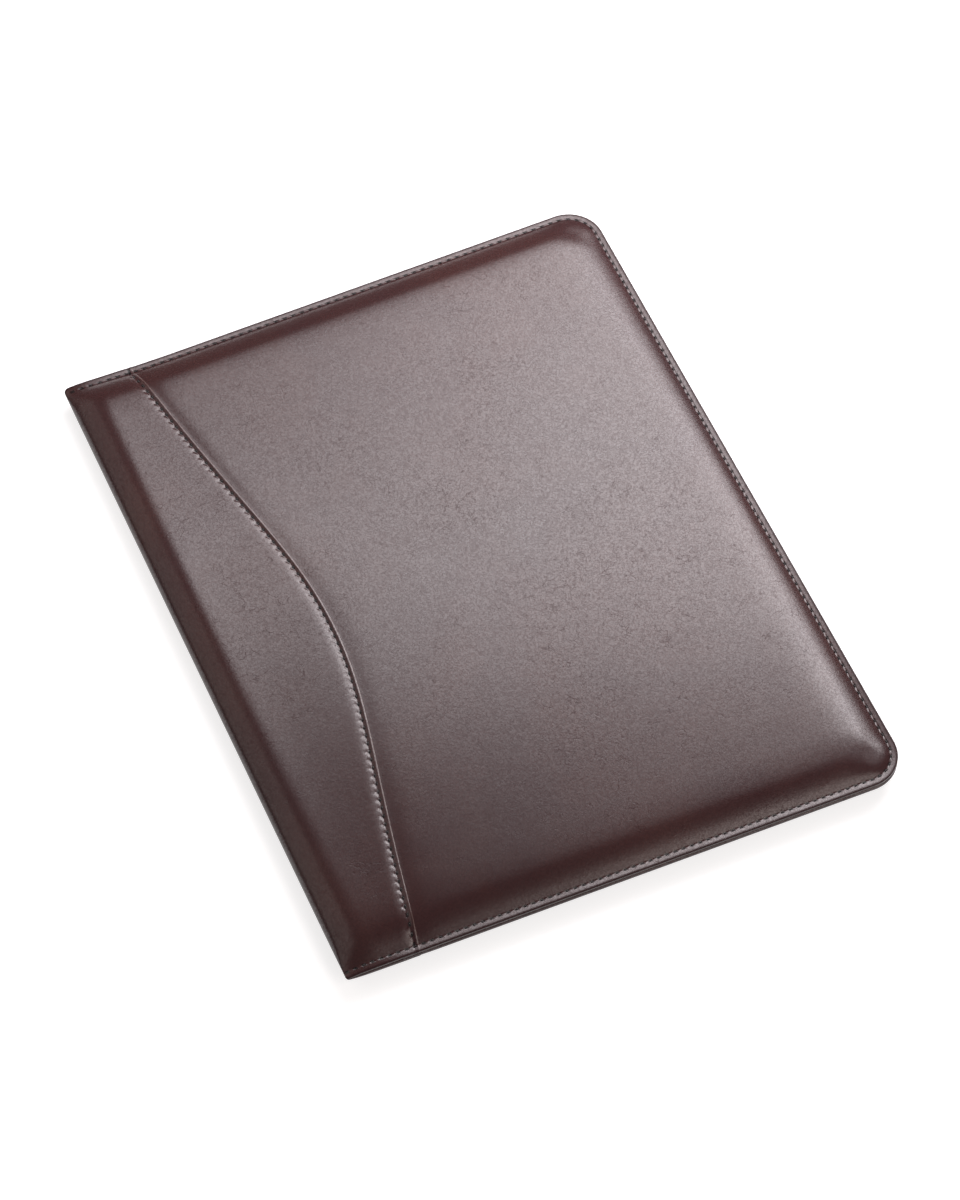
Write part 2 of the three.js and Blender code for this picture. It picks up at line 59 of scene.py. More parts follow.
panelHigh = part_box("front_panel_leather")[1]
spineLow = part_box("spine_leather")[0]
outline = {
    "foreEdge": panelHigh.x / mm, "head": panelHigh.y / mm, "spine": spineLow.x / mm,
    "parting": 7.55,            # height where the two rims meet
    "cornerRadius": 16.0,
    "softCorner": 26.0,         # the padding turns the corner in a wider curve than the rim
    "rollDepth": 14.8,          # how far the rounded spine reaches into the covers
    "rimWidth": 3.1,            # flat sewn edge
    "stitchInset": 2.85,
    "rimTilt": 0.105,           # the rim stands up a little outside its stitches
    "rimSink": 0.12,            # and is drawn down this much at them
}
foreEdge, headEdge, spineEdge, parting = (outline[key] for key in ("foreEdge", "head", "spine", "parting"))
cornerRadius, rollDepth, rimWidth, stitchInset = (
    outline[key] for key in ("cornerRadius", "rollDepth", "rimWidth", "stitchInset"))
rollStart = spineEdge + rollDepth
cornerX, cornerY = foreEdge - cornerRadius, headEdge - cornerRadius
covers = (("front", 1), ("rear", -1))

# how the head and tail ends of the covers leave the straight line
endForm = {
    "spineShrink": 1.5,         # sewing draws the ends of the spine in
    "foreEdgeGrow": 2.05,       # and the covers are a little longer at the fore-edge
    "roundHead": 2.2, "roundTail": 1.2, "roundReach": 14.0, "roundShare": 0.98,
    "headDraw": 0.4, "headReach": 40.0,
    "swell": 2.1, "swellReach": 50.0, "swellPower": 1.6,    # the head end swells out beside the spine
}

# slope of the padding against distance from the rim
shoulderForm = {
    "place": [0.0, 0.4, 0.8, 1.9, 2.9, 3.9, 4.9, 6.5, 8.0, 9.5, 11.0, 12.5, 14.0, 17.0, 22.0, 26.0],
    "slope": [0.0, 0.50, 0.52, 0.485, 0.44, 0.405, 0.375, 0.345, 0.295, 0.235, 0.17, 0.115, 0.08, 0.04,
              0.01, 0.0],
    "steps": 720,
}


def runningSum(steps):
    return np.concatenate([[0.0], np.cumsum(steps)])


def stepLengths(path):
    return np.linalg.norm(np.diff(path, axis=0), axis=1)


def shoulderTable():
    d = np.linspace(0.0, shoulderForm["place"][-1], shoulderForm["steps"])
    slope = np.interp(d, shoulderForm["place"], shoulderForm["slope"])
    return d, runningSum((slope[1:] + slope[:-1]) / 2 * np.diff(d))


shoulderPlace, shoulderHeight = shoulderTable()

# heights away from the parting plane, at the rim and on the padded middle
panelForm = {"rim": 1.85, "frontMiddle": 1.85 + float(shoulderHeight[-1]), "rearMiddle": 7.55,
             "crown": 1.2, "crownStart": 40.0}
overlayForm = {"rim": 1.95, "frontMiddle": panelForm["frontMiddle"] + 0.75, "rearMiddle": 7.55}

# curved sewn edge of the overlay, as reach from the spine against height
seamForm = {
    "reachMiddle": 58.6, "reachEnd": 31.2, "handleMiddle": 42.8, "handleEnd": 89.4, "slopeEnd": 0.167,
    "steps": 400,
    "apex": -3.6,               # the widest place lies a little toward the tail
    "stitchInset": 2.0,         # stitches sit this far inside the edge
    "pitch": 3.9, "stitchEnd": 4.6, "pathSteps": 330,
    "scallop": 1.25,            # how far the padded side is drawn in at each stitch
    "scallopPlace": 2.7, "scallopWidth": 1.2,
    "edgeRound": 0.30, "edgeDrop": 0.80,
    "hollowDepth": 0.46, "hollowWidth": 3.8, "hollowStart": 0.3, "hollowPower": 1.6,
    "rimShare": 0.25, "rearShare": 0.6,     # shares of the relief left at the rim and on the rear
    "rearUnder": 0.6,           # the rear panel goes down under the overlay, which lies flush
}
# height of the overlay beside its edge, against distance from the edge
seamProfile = {
    "place": [0.0, 0.30, 0.72, 0.85, 1.90, 2.05, 2.2, 2.5, 2.8, 3.1, 3.5, 4.0, 4.6, 5.5, 6.5, 12.0],
    "height": [-0.27, -0.24, -0.17, -0.21, -0.66, -0.69, -0.68, -0.54, -0.40, -0.32, -0.26, -0.18, -0.10, -0.03,
               0.0, 0.0],
}


def seamTable():
    t = np.linspace(0.0, 1.0, seamForm["steps"])
    middle, end = seamForm["reachMiddle"], seamForm["reachEnd"]
    reach = [middle, middle, end + seamForm["slopeEnd"] * seamForm["handleEnd"], end]
    height = [0.0, seamForm["handleMiddle"], headEdge - seamForm["handleEnd"], headEdge]
    weights = [(1 - t) ** 3, 3 * t * (1 - t) ** 2, 3 * t * t * (1 - t), t ** 3]
    x, y = (sum(w * v for w, v in zip(weights, values)) for values in (reach, height))
    return y, spineEdge + x


seamY, seamX = seamTable()
seamSlope = np.gradient(seamX, seamY)
seamRun = runningSum(np.hypot(np.diff(seamX), np.diff(seamY)))


def fromApex(y):
    return np.abs(np.asarray(y) - seamForm["apex"])


def seamAt(y):
    return np.interp(fromApex(y), seamY, seamX)


def seamCosine(y):
    return 1.0 / np.sqrt(1.0 + np.interp(fromApex(y), seamY, seamSlope) ** 2)


def seamStitch(y):
    # stitches counted along the seam from its widest place
    run = np.sign(np.asarray(y) - seamForm["apex"]) * np.interp(fromApex(y), seamY, seamRun)
    return run / seamForm["pitch"]


def smoothStep(value):
    t = np.clip(value, 0, 1)
    return t * t * (3 - 2 * t)


def roundedInset(across, along, radius):
    inCorner = (across < radius) & (along < radius)
    rounded = radius - np.hypot(radius - across, radius - along)
    return np.where(inCorner, rounded, np.minimum(across, along))


def insetAt(x, y):
    x, y = np.broadcast_arrays(np.asarray(x, float), np.asarray(y, float))
    tight, wide = (roundedInset(foreEdge - x, headEdge - np.abs(y), outline[key])
                   for key in ("cornerRadius", "softCorner"))
    t = (tight - rimWidth) / (cornerRadius - rimWidth)
    return tight + (wide - tight) * smoothStep(t)


def rise(inset):
    # share of the padding's height against distance from the edge
    return np.interp(np.asarray(inset) - rimWidth, shoulderPlace, shoulderHeight) / shoulderHeight[-1]


def rimShape(inset):
    return outline["rimTilt"] * np.clip(stitchInset - np.asarray(inset), 0, None) - outline["rimSink"]


def flare(points):
    # the covers' ends run slightly apart toward the fore-edge
    points, form = np.array(points, float), endForm
    fromSpine = points[:, 0] - spineEdge
    u = fromSpine / (foreEdge - spineEdge)
    change = form["foreEdgeGrow"] * u - form["spineShrink"] * (1 - u)
    # the spine's own ends are rounded off, more at the head than at the tail
    ends = np.clip((np.abs(points[:, 1]) - headEdge + form["roundReach"]) / form["roundReach"], 0, 1)
    radius = np.where(points[:, 1] > 0, form["roundHead"], form["roundTail"])
    fromRound = np.clip(radius - fromSpine, 0, radius)
    pull = radius - np.sqrt(radius ** 2 - fromRound ** 2 * form["roundShare"])
    beside = np.clip(1 - fromSpine / form["swellReach"], 0, 1)
    atHead = np.clip((points[:, 1] - headEdge + form["headReach"]) / form["headReach"], 0, 1)
    swell = (form["swell"] * beside ** form["swellPower"] - form["headDraw"]) * atHead ** 2
    points[:, 1] = points[:, 1] * (1 + change / headEdge) - np.sign(points[:, 1]) * pull * ends + swell
    return points


def crownAt(x, y):
    # slow swell of the padding over the whole cover
    u = np.clip((np.asarray(x) - spineEdge) / (foreEdge - spineEdge), 0, 1)
    v = np.clip(np.abs(y) / headEdge, 0, 1)
    fromRoll = (np.asarray(x) - rollStart) / panelForm["crownStart"]
    return (1 - (2 * u - 1) ** 4) * (1 - v ** 3) * smoothStep(fromRoll)


def paddedHeight(form, x, y, side):
    # height of a leather over the padding, and its share of the full height
    inset = insetAt(x, y)
    lift = rise(inset)
    middle = form["frontMiddle"] if side > 0 else form["rearMiddle"]
    height = form["rim"] + (middle - form["rim"]) * lift + rimShape(inset) * (1 - lift)
    if side > 0:
        height = height + panelForm["crown"] * crownAt(x, y) * lift
    return height, lift


def reliefShare(lift):
    return seamForm["rimShare"] + (1 - seamForm["rimShare"]) * lift


def panelHeight(x, y, side):
    form = seamForm
    height, lift = paddedHeight(panelForm, x, y, side)
    fromSeam = np.maximum((x - seamAt(y)) * seamCosine(y) - form["hollowStart"], 0)
    dip = np.exp(-(fromSeam / form["hollowWidth"]) ** form["hollowPower"])
    depth = form["hollowDepth"] + (0.0 if side > 0 else form["rearUnder"])
    return height - depth * dip * reliefShare(lift)


def overlayFlat(x, y, side):
    form = seamForm
    height, lift = paddedHeight(overlayForm, x, y, side)
    e = (seamAt(y) - x) * seamCosine(y)
    # each stitch draws the padded side in, so its foot runs in scallops
    tooth = np.abs((seamStitch(y) % 1.0) * 2 - 1)
    near = np.exp(-((e - form["scallopPlace"]) / form["scallopWidth"]) ** 2)
    pulled = e - form["scallop"] * (1 - tooth) ** 3 * near
    beside = np.interp(pulled, seamProfile["place"], seamProfile["height"])
    return height + reliefShare(lift) * (1.0 if side > 0 else form["rearShare"]) * beside


def rollShape(inset):
    # middle of the spine's roll from the parting plane, and half its thickness
    rim, lift = overlayForm["rim"], rise(inset)
    low, high = (rim + (overlayForm[key] - rim) * lift for key in ("rearMiddle", "frontMiddle"))
    return (high - low) / 2, (high + low) / 2


def roofAt(x, y, side):
    # height of the leather's outer side from the parting plane, wherever it is
    x, y = np.broadcast_arrays(np.asarray(x, float), np.asarray(y, float))
    roof = np.where(x < seamAt(y), overlayFlat(x, y, side), panelHeight(x, y, side))
    middle, half = rollShape(insetAt(np.maximum(x, rollStart), y))
    along = np.clip((rollStart - x) / rollDepth, 0, 1)
    return np.where(x < rollStart, side * middle + half * np.sqrt(1 - along ** 2), roof)


def makeMesh(name, points, faces, body=None, replaced=(), material=None, layers=None, smooth=True):
    # body is one body's name, or two names with the start and the end of a blend between them; for such a pair
    # the piece's transform is only baked, and no blend is made
    mesh = bpy.data.meshes.new(name)
    mesh.from_pydata((np.asarray(points, float) * mm).tolist(), [], faces)
    for layer, values in (layers or {}).items():
        attribute = mesh.attributes.new(layer, "FLOAT", "POINT")
        attribute.data.foreach_set("value", np.asarray(values, np.float32))
    if smooth:
        mesh.polygons.foreach_set("use_smooth", [True] * len(mesh.polygons))
    mesh.update()
    piece = bpy.data.objects.new(name, mesh)
    bpy.context.scene.collection.objects.link(piece)
    if material:
        mesh.materials.append(material)
    if isinstance(body, str):
        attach(piece, body)
    elif body:
        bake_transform(piece)
    if replaced:
        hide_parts(*replaced)
    return piece


def turned(faces, flip):
    return [face[::-1] for face in faces] if flip else faces


def gridFaces(rows, columns, flip=False):
    return turned([(a, a + 1, a + columns + 1, a + columns)
                   for a in (r * columns + c for r in range(rows - 1) for c in range(columns - 1))], flip)


def bandFaces(first, second, count, flip=False):
    # between two closed rings, given by their first points
    return turned([(first + c, first + (c + 1) % count, second + (c + 1) % count, second + c)
                   for c in range(count)], flip)


def tubeFaces(rings, count, start=0, flip=False):
    return [face for ring in range(rings - 1)
            for face in bandFaces(start + ring * count, start + (ring + 1) * count, count, flip)]


def tidyFaces(faces):
    # drops repeated corners where a ring closes to one point
    shorter = [tuple(v for i, v in enumerate(face) if v != face[i - 1]) for face in faces]
    return [face for face in shorter if len(set(face)) >= 3]


def atHeight(plan, height):
    # points of a plan, all at one height or each at its own
    return np.column_stack([plan, np.broadcast_to(height, len(plan))])


def spacedPlaces(low, high, step):
    return np.linspace(low, high, max(2, int(round((high - low) / step)) + 1))


def rimRing(across, inset, turns, rows):
    # from the tail end of the spine round both corners to its head end
    reach, y = cornerRadius - inset, headEdge - inset
    ring = [(x, -y) for x in across]
    ring += [(cornerX + reach * math.sin(t), -cornerY - reach * math.cos(t)) for t in turns]
    ring += [(foreEdge - inset, r) for r in rows]
    ring += [(cornerX + reach * math.cos(t), cornerY + reach * math.sin(t)) for t in turns]
    return np.array(ring + [(x, y) for x in across[::-1]])


def plug(tree, node, inputs):
    # inputs are numbers, colours, vectors, outputs or levels
    for key, value in inputs.items():
        socket = node.inputs[key]
        if isinstance(value, (int, float)):
            socket.default_value = value
        elif isinstance(value, tuple):
            socket.default_value = (*value, 1.0)[:len(socket.default_value)]
        else:
            tree.links.new(value.socket if isinstance(value, Level) else value, socket)


def addNode(tree, kind, inputs=None, **settings):
    node = tree.nodes.new(kind)
    for key, value in settings.items():
        setattr(node, key, value)
    plug(tree, node, inputs or {})
    return node


def madeLevel(tree, output, kind, inputs=None, **settings):
    return Level(tree, addNode(tree, kind, inputs, **settings).outputs[output])


class Level:
    # one value in a node tree, where plain maths adds the nodes
    def __init__(self, tree, socket):
        self.tree, self.socket = tree, socket

    def made(self, output, kind, inputs, **settings):
        return madeLevel(self.tree, output, kind, inputs, **settings)

    def math(self, operation, other=None, swapped=False, **settings):
        values = [self] if other is None else [other, self] if swapped else [self, other]
        return self.made(0, "ShaderNodeMath", dict(enumerate(values)), operation=operation, **settings)

    def __add__(self, other):
        return self.math("ADD", other)

    def __sub__(self, other):
        return self.math("SUBTRACT", other)

    def __rsub__(self, other):
        return self.math("SUBTRACT", other, True)

    def __mul__(self, other):
        return self.math("MULTIPLY", other)

    def __abs__(self):
        return self.math("ABSOLUTE")

    def ramp(self, low, high, start=0.0, end=1.0, kind="LINEAR"):
        return self.made("Result", "ShaderNodeMapRange", {
            "Value": self, "From Min": low, "From Max": high, "To Min": start, "To Max": end},
            interpolation_type=kind)

    def ease(self, low, high, start=0.0, end=1.0):
        return self.ramp(low, high, start, end, "SMOOTHSTEP")

    def mix(self, a, b):
        # colour a where the level is 0, and b where it is 1
        return self.made(2, "ShaderNodeMix", {0: self, 6: a, 7: b}, data_type="RGBA")


class Finish:
    # a material in the making
    def __init__(self, name):
        self.material = bpy.data.materials.new(name)
        self.material.use_nodes = True
        self.tree = self.material.node_tree
        self.tree.nodes.clear()
        self.shader = addNode(self.tree, "ShaderNodeBsdfPrincipled")
        self.out = addNode(self.tree, "ShaderNodeOutputMaterial", {"Surface": self.shader.outputs["BSDF"]})
        self.place = self.level("Object", "ShaderNodeTexCoord")

    def level(self, output, kind, inputs=None, **settings):
        return madeLevel(self.tree, output, kind, inputs, **settings)

    def noise(self, scale, detail=3.0, roughness=0.55, distortion=0.0, output="Fac"):
        return self.level(output, "ShaderNodeTexNoise", {
            "Vector": self.place, "Scale": scale, "Detail": detail, "Roughness": roughness,
            "Distortion": distortion})

    def attribute(self, name):
        return self.level("Fac", "ShaderNodeAttribute", attribute_name=name)

    def bent(self, amount, scale, detail, roughness):
        # the place, moved about by a noise
        swirl = self.noise(scale, detail, roughness, output="Color")
        shift = self.level(0, "ShaderNodeVectorMath", {0: swirl, "Scale": amount}, operation="SCALE")
        return self.level(0, "ShaderNodeVectorMath", {0: self.place, 1: shift}, operation="ADD")

    def axes(self, vector):
        return [self.level(output, "ShaderNodeSeparateXYZ", {"Vector": vector}) for output in "XYZ"]

    def complete(self, colour, height, depth, roughness, strength=1.0, more=None):
        # depth is that of the bump in millimetres, and more holds further inputs of the shader
        bump = self.level("Normal", "ShaderNodeBump", {
            "Height": height, "Strength": strength, "Distance": depth * mm})
        plug(self.tree, self.shader, {
            "Base Color": colour, "Normal": bump, "Roughness": roughness, **(more or {})})
        return self.material


def darker(colour, share):
    return tuple(c * share for c in colour)


coverLeather = {
    "colour": (0.040, 0.0140, 0.0145), "dark": (0.024, 0.0086, 0.0092), "warm": (0.054, 0.0195, 0.0170),
    # painted highlight: the edge wear colour on the next line also lightens the crest of the folded edge
    # painted shade: the hole colour on the next line darkens the needle holes
    "edgePaint": (0.030, 0.0135, 0.014), "edgeWearHighlight": (0.105, 0.066, 0.058), "holeShade": (0.006, 0.0028, 0.003),
    "cloudScale": 22.0, "speckleScale": 1100.0, "shadeScale": 7.0, "wearHighlightScale": 160.0,
    "roughness": 0.22, "roughnessSpread": 0.015, "glossScale": 48.0,
    "pebbleScale": 900.0, "pebbleDepth": 0.024,     # depths in millimetres
    "fineScale": 1700.0, "fineDepth": 0.012,
    "sheen": 0.53, "sheenSpread": 0.52,             # the pebbles shine unevenly
    # creases as scale, scale of the patches they lie in, and where the patches start and fill
    "longCrease": (85.0, 24.0, 0.43, 0.60), "longDepth": 0.015,
    "shortCrease": (300.0, 34.0, 0.34, 0.72), "shortDepth": 0.008,
    "creaseWidth": 0.00030, "creaseBend": 2.6, "creaseBendScale": 0.45, "creaseBreakScale": 1.7,
    # painted shade: the crease darkening on the next line darkens the crease lines
    "creaseDull": 0.42, "creaseShade": 0.27, "edgeDull": 0.75,
    "waveScale": 26.0, "waveDepth": 0.05,
}
# layers along and across a row of stitches, how far the leather is drawn in, and how deep
rimPucker = ("rimAlong", "rimOff", 0.62, 0.12)
seamPucker = ("seamAlong", "seamOff", 1.0, 0.06)


def makeCreases(finish, scale, patchScale, low, high):
    # thin branching lines, only in some patches
    look = coverLeather
    place = finish.bent(look["creaseBend"] / scale, scale * look["creaseBendScale"], 4.0, 0.65)
    veins = finish.level("Distance", "ShaderNodeTexVoronoi", {
        "Vector": place, "Scale": scale, "Randomness": 1.0}, feature="DISTANCE_TO_EDGE")
    line = veins.ease(0.0, look["creaseWidth"] * scale, 1.0, 0.0)
    patches = finish.noise(patchScale, 3.0, 0.6).ease(low, high)
    return line * patches * finish.noise(scale * look["creaseBreakScale"], 2.0, 0.6).ease(0.44, 0.60)


def makeCoverLeather(name, puckers, changes=None, wearHighlightLayer=None):
    look = {**coverLeather, **(changes or {})}
    finish = Finish(name)
    # slow clouds, fine speckle and darker places
    clouds = finish.noise(look["cloudScale"], 4.0, 0.6, 0.4).ease(0.35, 0.68, 0.0, 0.6)
    tint = clouds.mix(look["colour"], look["warm"])
    tint = finish.noise(look["speckleScale"], 2.0, 0.6).ramp(0.36, 0.62, 0.45, 0.0).mix(tint, look["dark"])
    tint = finish.noise(look["shadeScale"], 2.0).ease(0.38, 0.62, 0.28, 0.0).mix(tint, look["dark"])
    # low pebbles over a very fine grain, then creases, and slow waves of the padding
    pebble = finish.noise(look["pebbleScale"], 3.0, 0.62, 0.3)
    height = finish.noise(look["fineScale"], 2.0, 0.6) * look["fineDepth"] + pebble * look["pebbleDepth"]
    longCrease = makeCreases(finish, *look["longCrease"])
    shortCrease = makeCreases(finish, *look["shortCrease"])
    crease = longCrease.math("MAXIMUM", shortCrease)
    height = height - (longCrease * look["longDepth"] + shortCrease * look["shortDepth"])
    height = height + finish.noise(look["waveScale"], 2.0, 0.5) * look["waveDepth"]

    # leather drawn in along each stitch, and painted shade in the needle holes at its ends
    for alongLayer, offLayer, reach, depth in puckers:
        off = finish.attribute(offLayer)
        slant = finish.attribute(alongLayer) * (2 * math.pi) + off * 0.5
        wave = (1.0 - slant.math("COSINE")) * 0.5
        height = height - wave * abs(off).ease(0.1, reach, 1.0, 0.0) * depth
        holeShade = abs(off).ease(0.36, 0.78, 1.0, 0.0) * wave.ease(0.35, 0.75)
        tint = holeShade.mix(tint, look["holeShade"])

    # folded edges lighter in places: rubbed wear, and a painted highlight along the crest of the fold
    if wearHighlightLayer:
        rubbedHighlight = (finish.attribute(wearHighlightLayer) + seamForm["stitchInset"]).ease(0.28, 0.62, 1.0, 0.0)
        rubbedHighlight = rubbedHighlight * finish.noise(look["wearHighlightScale"], 3.0, 0.6).ramp(0.3, 0.7, 0.45, 1.0)
        tint = rubbedHighlight.mix(tint, look["edgeWearHighlight"])

    # a darker outer edge of the rim, and painted shade in the creases
    edge = finish.attribute("edgeShare")
    tint = edge.mix(tint, look["edgePaint"])
    tint = (crease * look["creaseShade"]).mix(tint, look["dark"])
    # pebbles, creases and the pressed edge shine unevenly
    spread = look["sheenSpread"] * 0.5
    shine = abs(pebble - 0.5).ramp(0.0, 0.072, look["sheen"] - spread, look["sheen"] + spread * 0.3)
    shine = shine * crease.ramp(0.0, 1.0, 1.0, 1.0 - look["creaseDull"])
    shine = shine * edge.ramp(0.0, 1.0, 1.0, 1.0 - look["edgeDull"])
    gloss = finish.noise(look["glossScale"], 4.0, 0.65).ramp(
        0.3, 0.7, look["roughness"] - look["roughnessSpread"], look["roughness"] + look["roughnessSpread"])
    return finish.complete(tint, height, 1.0, gloss, more={"Specular IOR Level": shine, "IOR": 1.5})


panelLeather = makeCoverLeather("coverLeatherPanel", [rimPucker])
overlayLeather = makeCoverLeather("coverLeatherOverlay", [rimPucker, seamPucker], wearHighlightLayer="seamOff")
print("portfolio: leather ready")


panelMesh = {
    "rowStep": 2.2, "columns": 63, "arcSteps": 22, "clearOfRim": 20.0,
    # distances from the seam where the surface bends
    "nearSeam": [-7.0, -3.0, 0.0, 0.35, 0.7, 1.1, 1.6, 2.2, 3.0, 4.0, 5.2, 6.6, 8.2],
}
rimForm = {
    "tailPitch": 3.65, "headPitch": 4.1,    # stitches are a little longer along the head
    "headBand": 8.0, "start": -117.0,
    "groove": 0.06, "grooveWidth": 0.30,
    "paint": (0.75, 1.15), "paintDepth": 0.35,      # the upper corner of the rim is pressed and darkened
    "turnSteps": 24, "step": 1.0,
}
# the rim as (inset, depth under the outer surface), from under, round its edge and up to the shoulder
rimRings = [(2.6, 1.7), (1.3, 1.7), (0.45, 1.69), (0.2, 1.6), (0.06, 1.42), (0.0, 1.1), (0.0, 0.55),
            (0.03, 0.30), (0.11, 0.11), (0.25, 0.02), (0.45, 0.0)]
rimRings += [(inset, 0.0) for inset in (
    0.7, 1.0, 1.4, 1.8, 2.15, 2.4, 2.6, 2.75, 2.9, 3.05, 3.2, 3.4, 3.65, 3.95, 4.3, 4.8, 5.4, 6.1, 6.9, 7.8,
    8.8, 10.0, 11.3, 12.8, 14.4, 16.0)]


def rimGroove(inset):
    return rimForm["groove"] * np.exp(-((np.asarray(inset) - stitchInset) / rimForm["grooveWidth"]) ** 2)


def stitchCount(path):
    # stitches counted along the rim from the tail end of the spine
    path = np.asarray(path, float)
    isHead = (path[1:, 1] + path[:-1, 1]) / 2 > headEdge - rimForm["headBand"]
    counted = runningSum(stepLengths(path) / np.where(isHead, rimForm["headPitch"], rimForm["tailPitch"]))
    return counted + (path[0, 0] - rimForm["start"]) / rimForm["tailPitch"]


def edgePaint(inset, depth):
    return float(np.interp(inset, rimForm["paint"], [1.0, 0.0])) if depth < rimForm["paintDepth"] else 0.0


def panelSkin(label, side):
    def columnX(y):
        close = seamAt(y) + np.array(panelMesh["nearSeam"]) / seamCosine(y)
        shares = np.linspace(0.0, 1.0, panelMesh["columns"])[1:]
        return np.concatenate([close, close[-1] + (cornerX - close[-1]) * shares])

    def ringPoints(inset):
        return rimRing(columnX(headEdge - inset), inset, turns, rows)

    def addPoints(plan, height, *values):
        points.append(atHeight(plan, parting + side * height))
        for layer, value in zip(layers.values(), values):
            layer.append(np.broadcast_to(value, len(plan)))

    rows = spacedPlaces(-cornerY, cornerY, panelMesh["rowStep"])
    turns = np.linspace(0, math.pi / 2, panelMesh["arcSteps"] + 1)[1:-1]
    points, layers = [], {"rimAlong": [], "rimOff": [], "edgeShare": []}
    count = len(columnX(0.0))
    run = stitchCount(ringPoints(stitchInset))
    perRing = len(run)
    for inset, depth in rimRings:
        ring = ringPoints(inset)
        top = panelHeight(ring[:, 0], ring[:, 1], side) - rimGroove(inset) * (depth == 0)
        addPoints(ring, top - depth, run, inset - stitchInset, edgePaint(inset, depth))
    faces = gridFaces(len(rimRings), perRing, flip=side < 0)

    # the middle of the cover, joined to the last ring
    inner = np.concatenate([np.column_stack([columnX(r)[:-1], np.full(count - 1, r)]) for r in rows[1:-1]])
    addPoints(inner, panelHeight(inner[:, 0], inner[:, 1], side), 0.0, panelMesh["clearOfRim"], 0.0)
    start = len(rimRings) * perRing
    last = start - perRing
    foreStart = last + count + len(turns)
    headStart = foreStart + len(rows) + len(turns)

    def gridIndex(r, c):
        if r == 0:
            return last + c
        if r == len(rows) - 1:
            return headStart + (count - 1 - c)
        if c == count - 1:
            return foreStart + r
        return start + (r - 1) * (count - 1) + c

    for r in range(len(rows) - 1):
        for c in range(count - 1):
            quad = (gridIndex(r, c), gridIndex(r, c + 1), gridIndex(r + 1, c + 1), gridIndex(r + 1, c))
            faces.append(quad if side > 0 else quad[::-1])
    # the rounded corners close to one point each
    tailCorner = last + count - 1
    merged = {tailCorner + 1 + i: tailCorner for i in range(len(turns) + 1)}
    merged.update({foreStart + len(rows) - 1 + i: headStart for i in range(len(turns) + 1)})
    faces = tidyFaces([tuple(merged.get(v, v) for v in face) for face in faces])
    layers = {layer: np.concatenate(values) for layer, values in layers.items()}
    piece = makeMesh(label + "_panel_skin", flare(np.concatenate(points)), faces, label + "_cover",
                     [label + "_panel_leather", label + "_foam"], panelLeather, layers)


for label, side in covers:
    panelSkin(label, side)
print("portfolio: panels made")


def rimPath():
    # line of the rim's stitches
    turns = np.linspace(0, math.pi / 2, rimForm["turnSteps"])[1:-1]
    return rimRing(spacedPlaces(rimForm["start"], cornerX, rimForm["step"]), stitchInset, turns,
                   spacedPlaces(-cornerY, cornerY, rimForm["step"]))


# overlay that wraps the spine, split at the middle of the spine
overlayMesh = {
    "rollSteps": 16, "flatSteps": 9, "rowStep": 0.58, "easeReach": 12.0, "edgeTurns": (30, 60, 90),
    # distances from the sewn edge, from the spine outward
    "places": [12.5, 11.0, 9.6, 8.4, 7.4, 6.6, 5.9, 5.3, 4.8, 4.4, 4.05, 3.75, 3.5, 3.3, 3.1, 2.9, 2.7, 2.5,
               2.3, 2.1, 1.9, 1.6, 1.3, 1.05, 0.86, 0.72, 0.58, 0.44, 0.30],
}


def overlaySection(y, inset, side, depth=0.0):
    # one row of the overlay at height y, from the middle of the spine to under its sewn edge
    middle, half = rollShape(inset)
    centre = parting + middle
    points, places = [], overlayMesh["places"]
    for step in range(overlayMesh["rollSteps"]):
        turn = side * math.pi / 2 * step / overlayMesh["rollSteps"]
        points.append((rollStart - (rollDepth - depth) * math.cos(turn),
                       centre + (half - depth) * math.sin(turn)))
    seam, cosine = float(seamAt(y)), float(seamCosine(y))
    far, steps = seam - places[0] / cosine, overlayMesh["flatSteps"]
    across = [rollStart + (far - rollStart) * k / steps for k in range(steps)]
    for x in across + [seam - place / cosine for place in places]:
        lift = float(overlayFlat(np.array(x), np.array(y), side)) - float(rimGroove(inset)) * (depth == 0)
        ease = min(max((x - rollStart) / overlayMesh["easeReach"], 0.0), 1.0)
        flat = centre + side * (half - depth)
        points.append((x, (parting + side * (lift - depth)) * ease + flat * (1 - ease)))
    # folded edge: rounds over and drops to the panel
    top, radius = points[-1][1], seamForm["edgeRound"]
    for degrees in overlayMesh["edgeTurns"]:
        turn = math.radians(degrees)
        points.append((seam - (places[-1] - radius * math.sin(turn)) / cosine,
                       top - side * radius * (1 - math.cos(turn))))
    return points + [(points[-1][0], top - side * seamForm["edgeDrop"])]


def overlaySkin(name, side, body, replaced):
    rimTotal = stitchCount(rimPath())[-1]
    rowEnd = headEdge - rimRings[-1][0]
    rows = [(inset - headEdge, inset, depth) for inset, depth in rimRings]
    rows += [(y, headEdge - abs(y), 0.0) for y in spacedPlaces(-rowEnd, rowEnd, overlayMesh["rowStep"])[1:-1]]
    rows += [(headEdge - inset, inset, depth) for inset, depth in reversed(rimRings)]
    points, values = [], []
    for y, inset, depth in rows:
        seam, cosine = float(seamAt(y)), float(seamCosine(y))
        section = overlaySection(y, max(inset, 0.0), side, depth)
        for x, z in section:
            points.append((x, y, z))
            fromStart = x - rimForm["start"]
            along = rimTotal - fromStart / rimForm["headPitch"] if y > 0 else fromStart / rimForm["tailPitch"]
            values.append((along, inset - stitchInset, float(seamStitch(y)),
                           (seam - x) * cosine - seamForm["stitchInset"], edgePaint(inset, depth)))
    layers = dict(zip(("rimAlong", "rimOff", "seamAlong", "seamOff", "edgeShare"), zip(*values)))
    faces = gridFaces(len(rows), len(section), flip=side < 0)
    makeMesh(name, flare(points), faces, body, replaced, overlayLeather, layers)


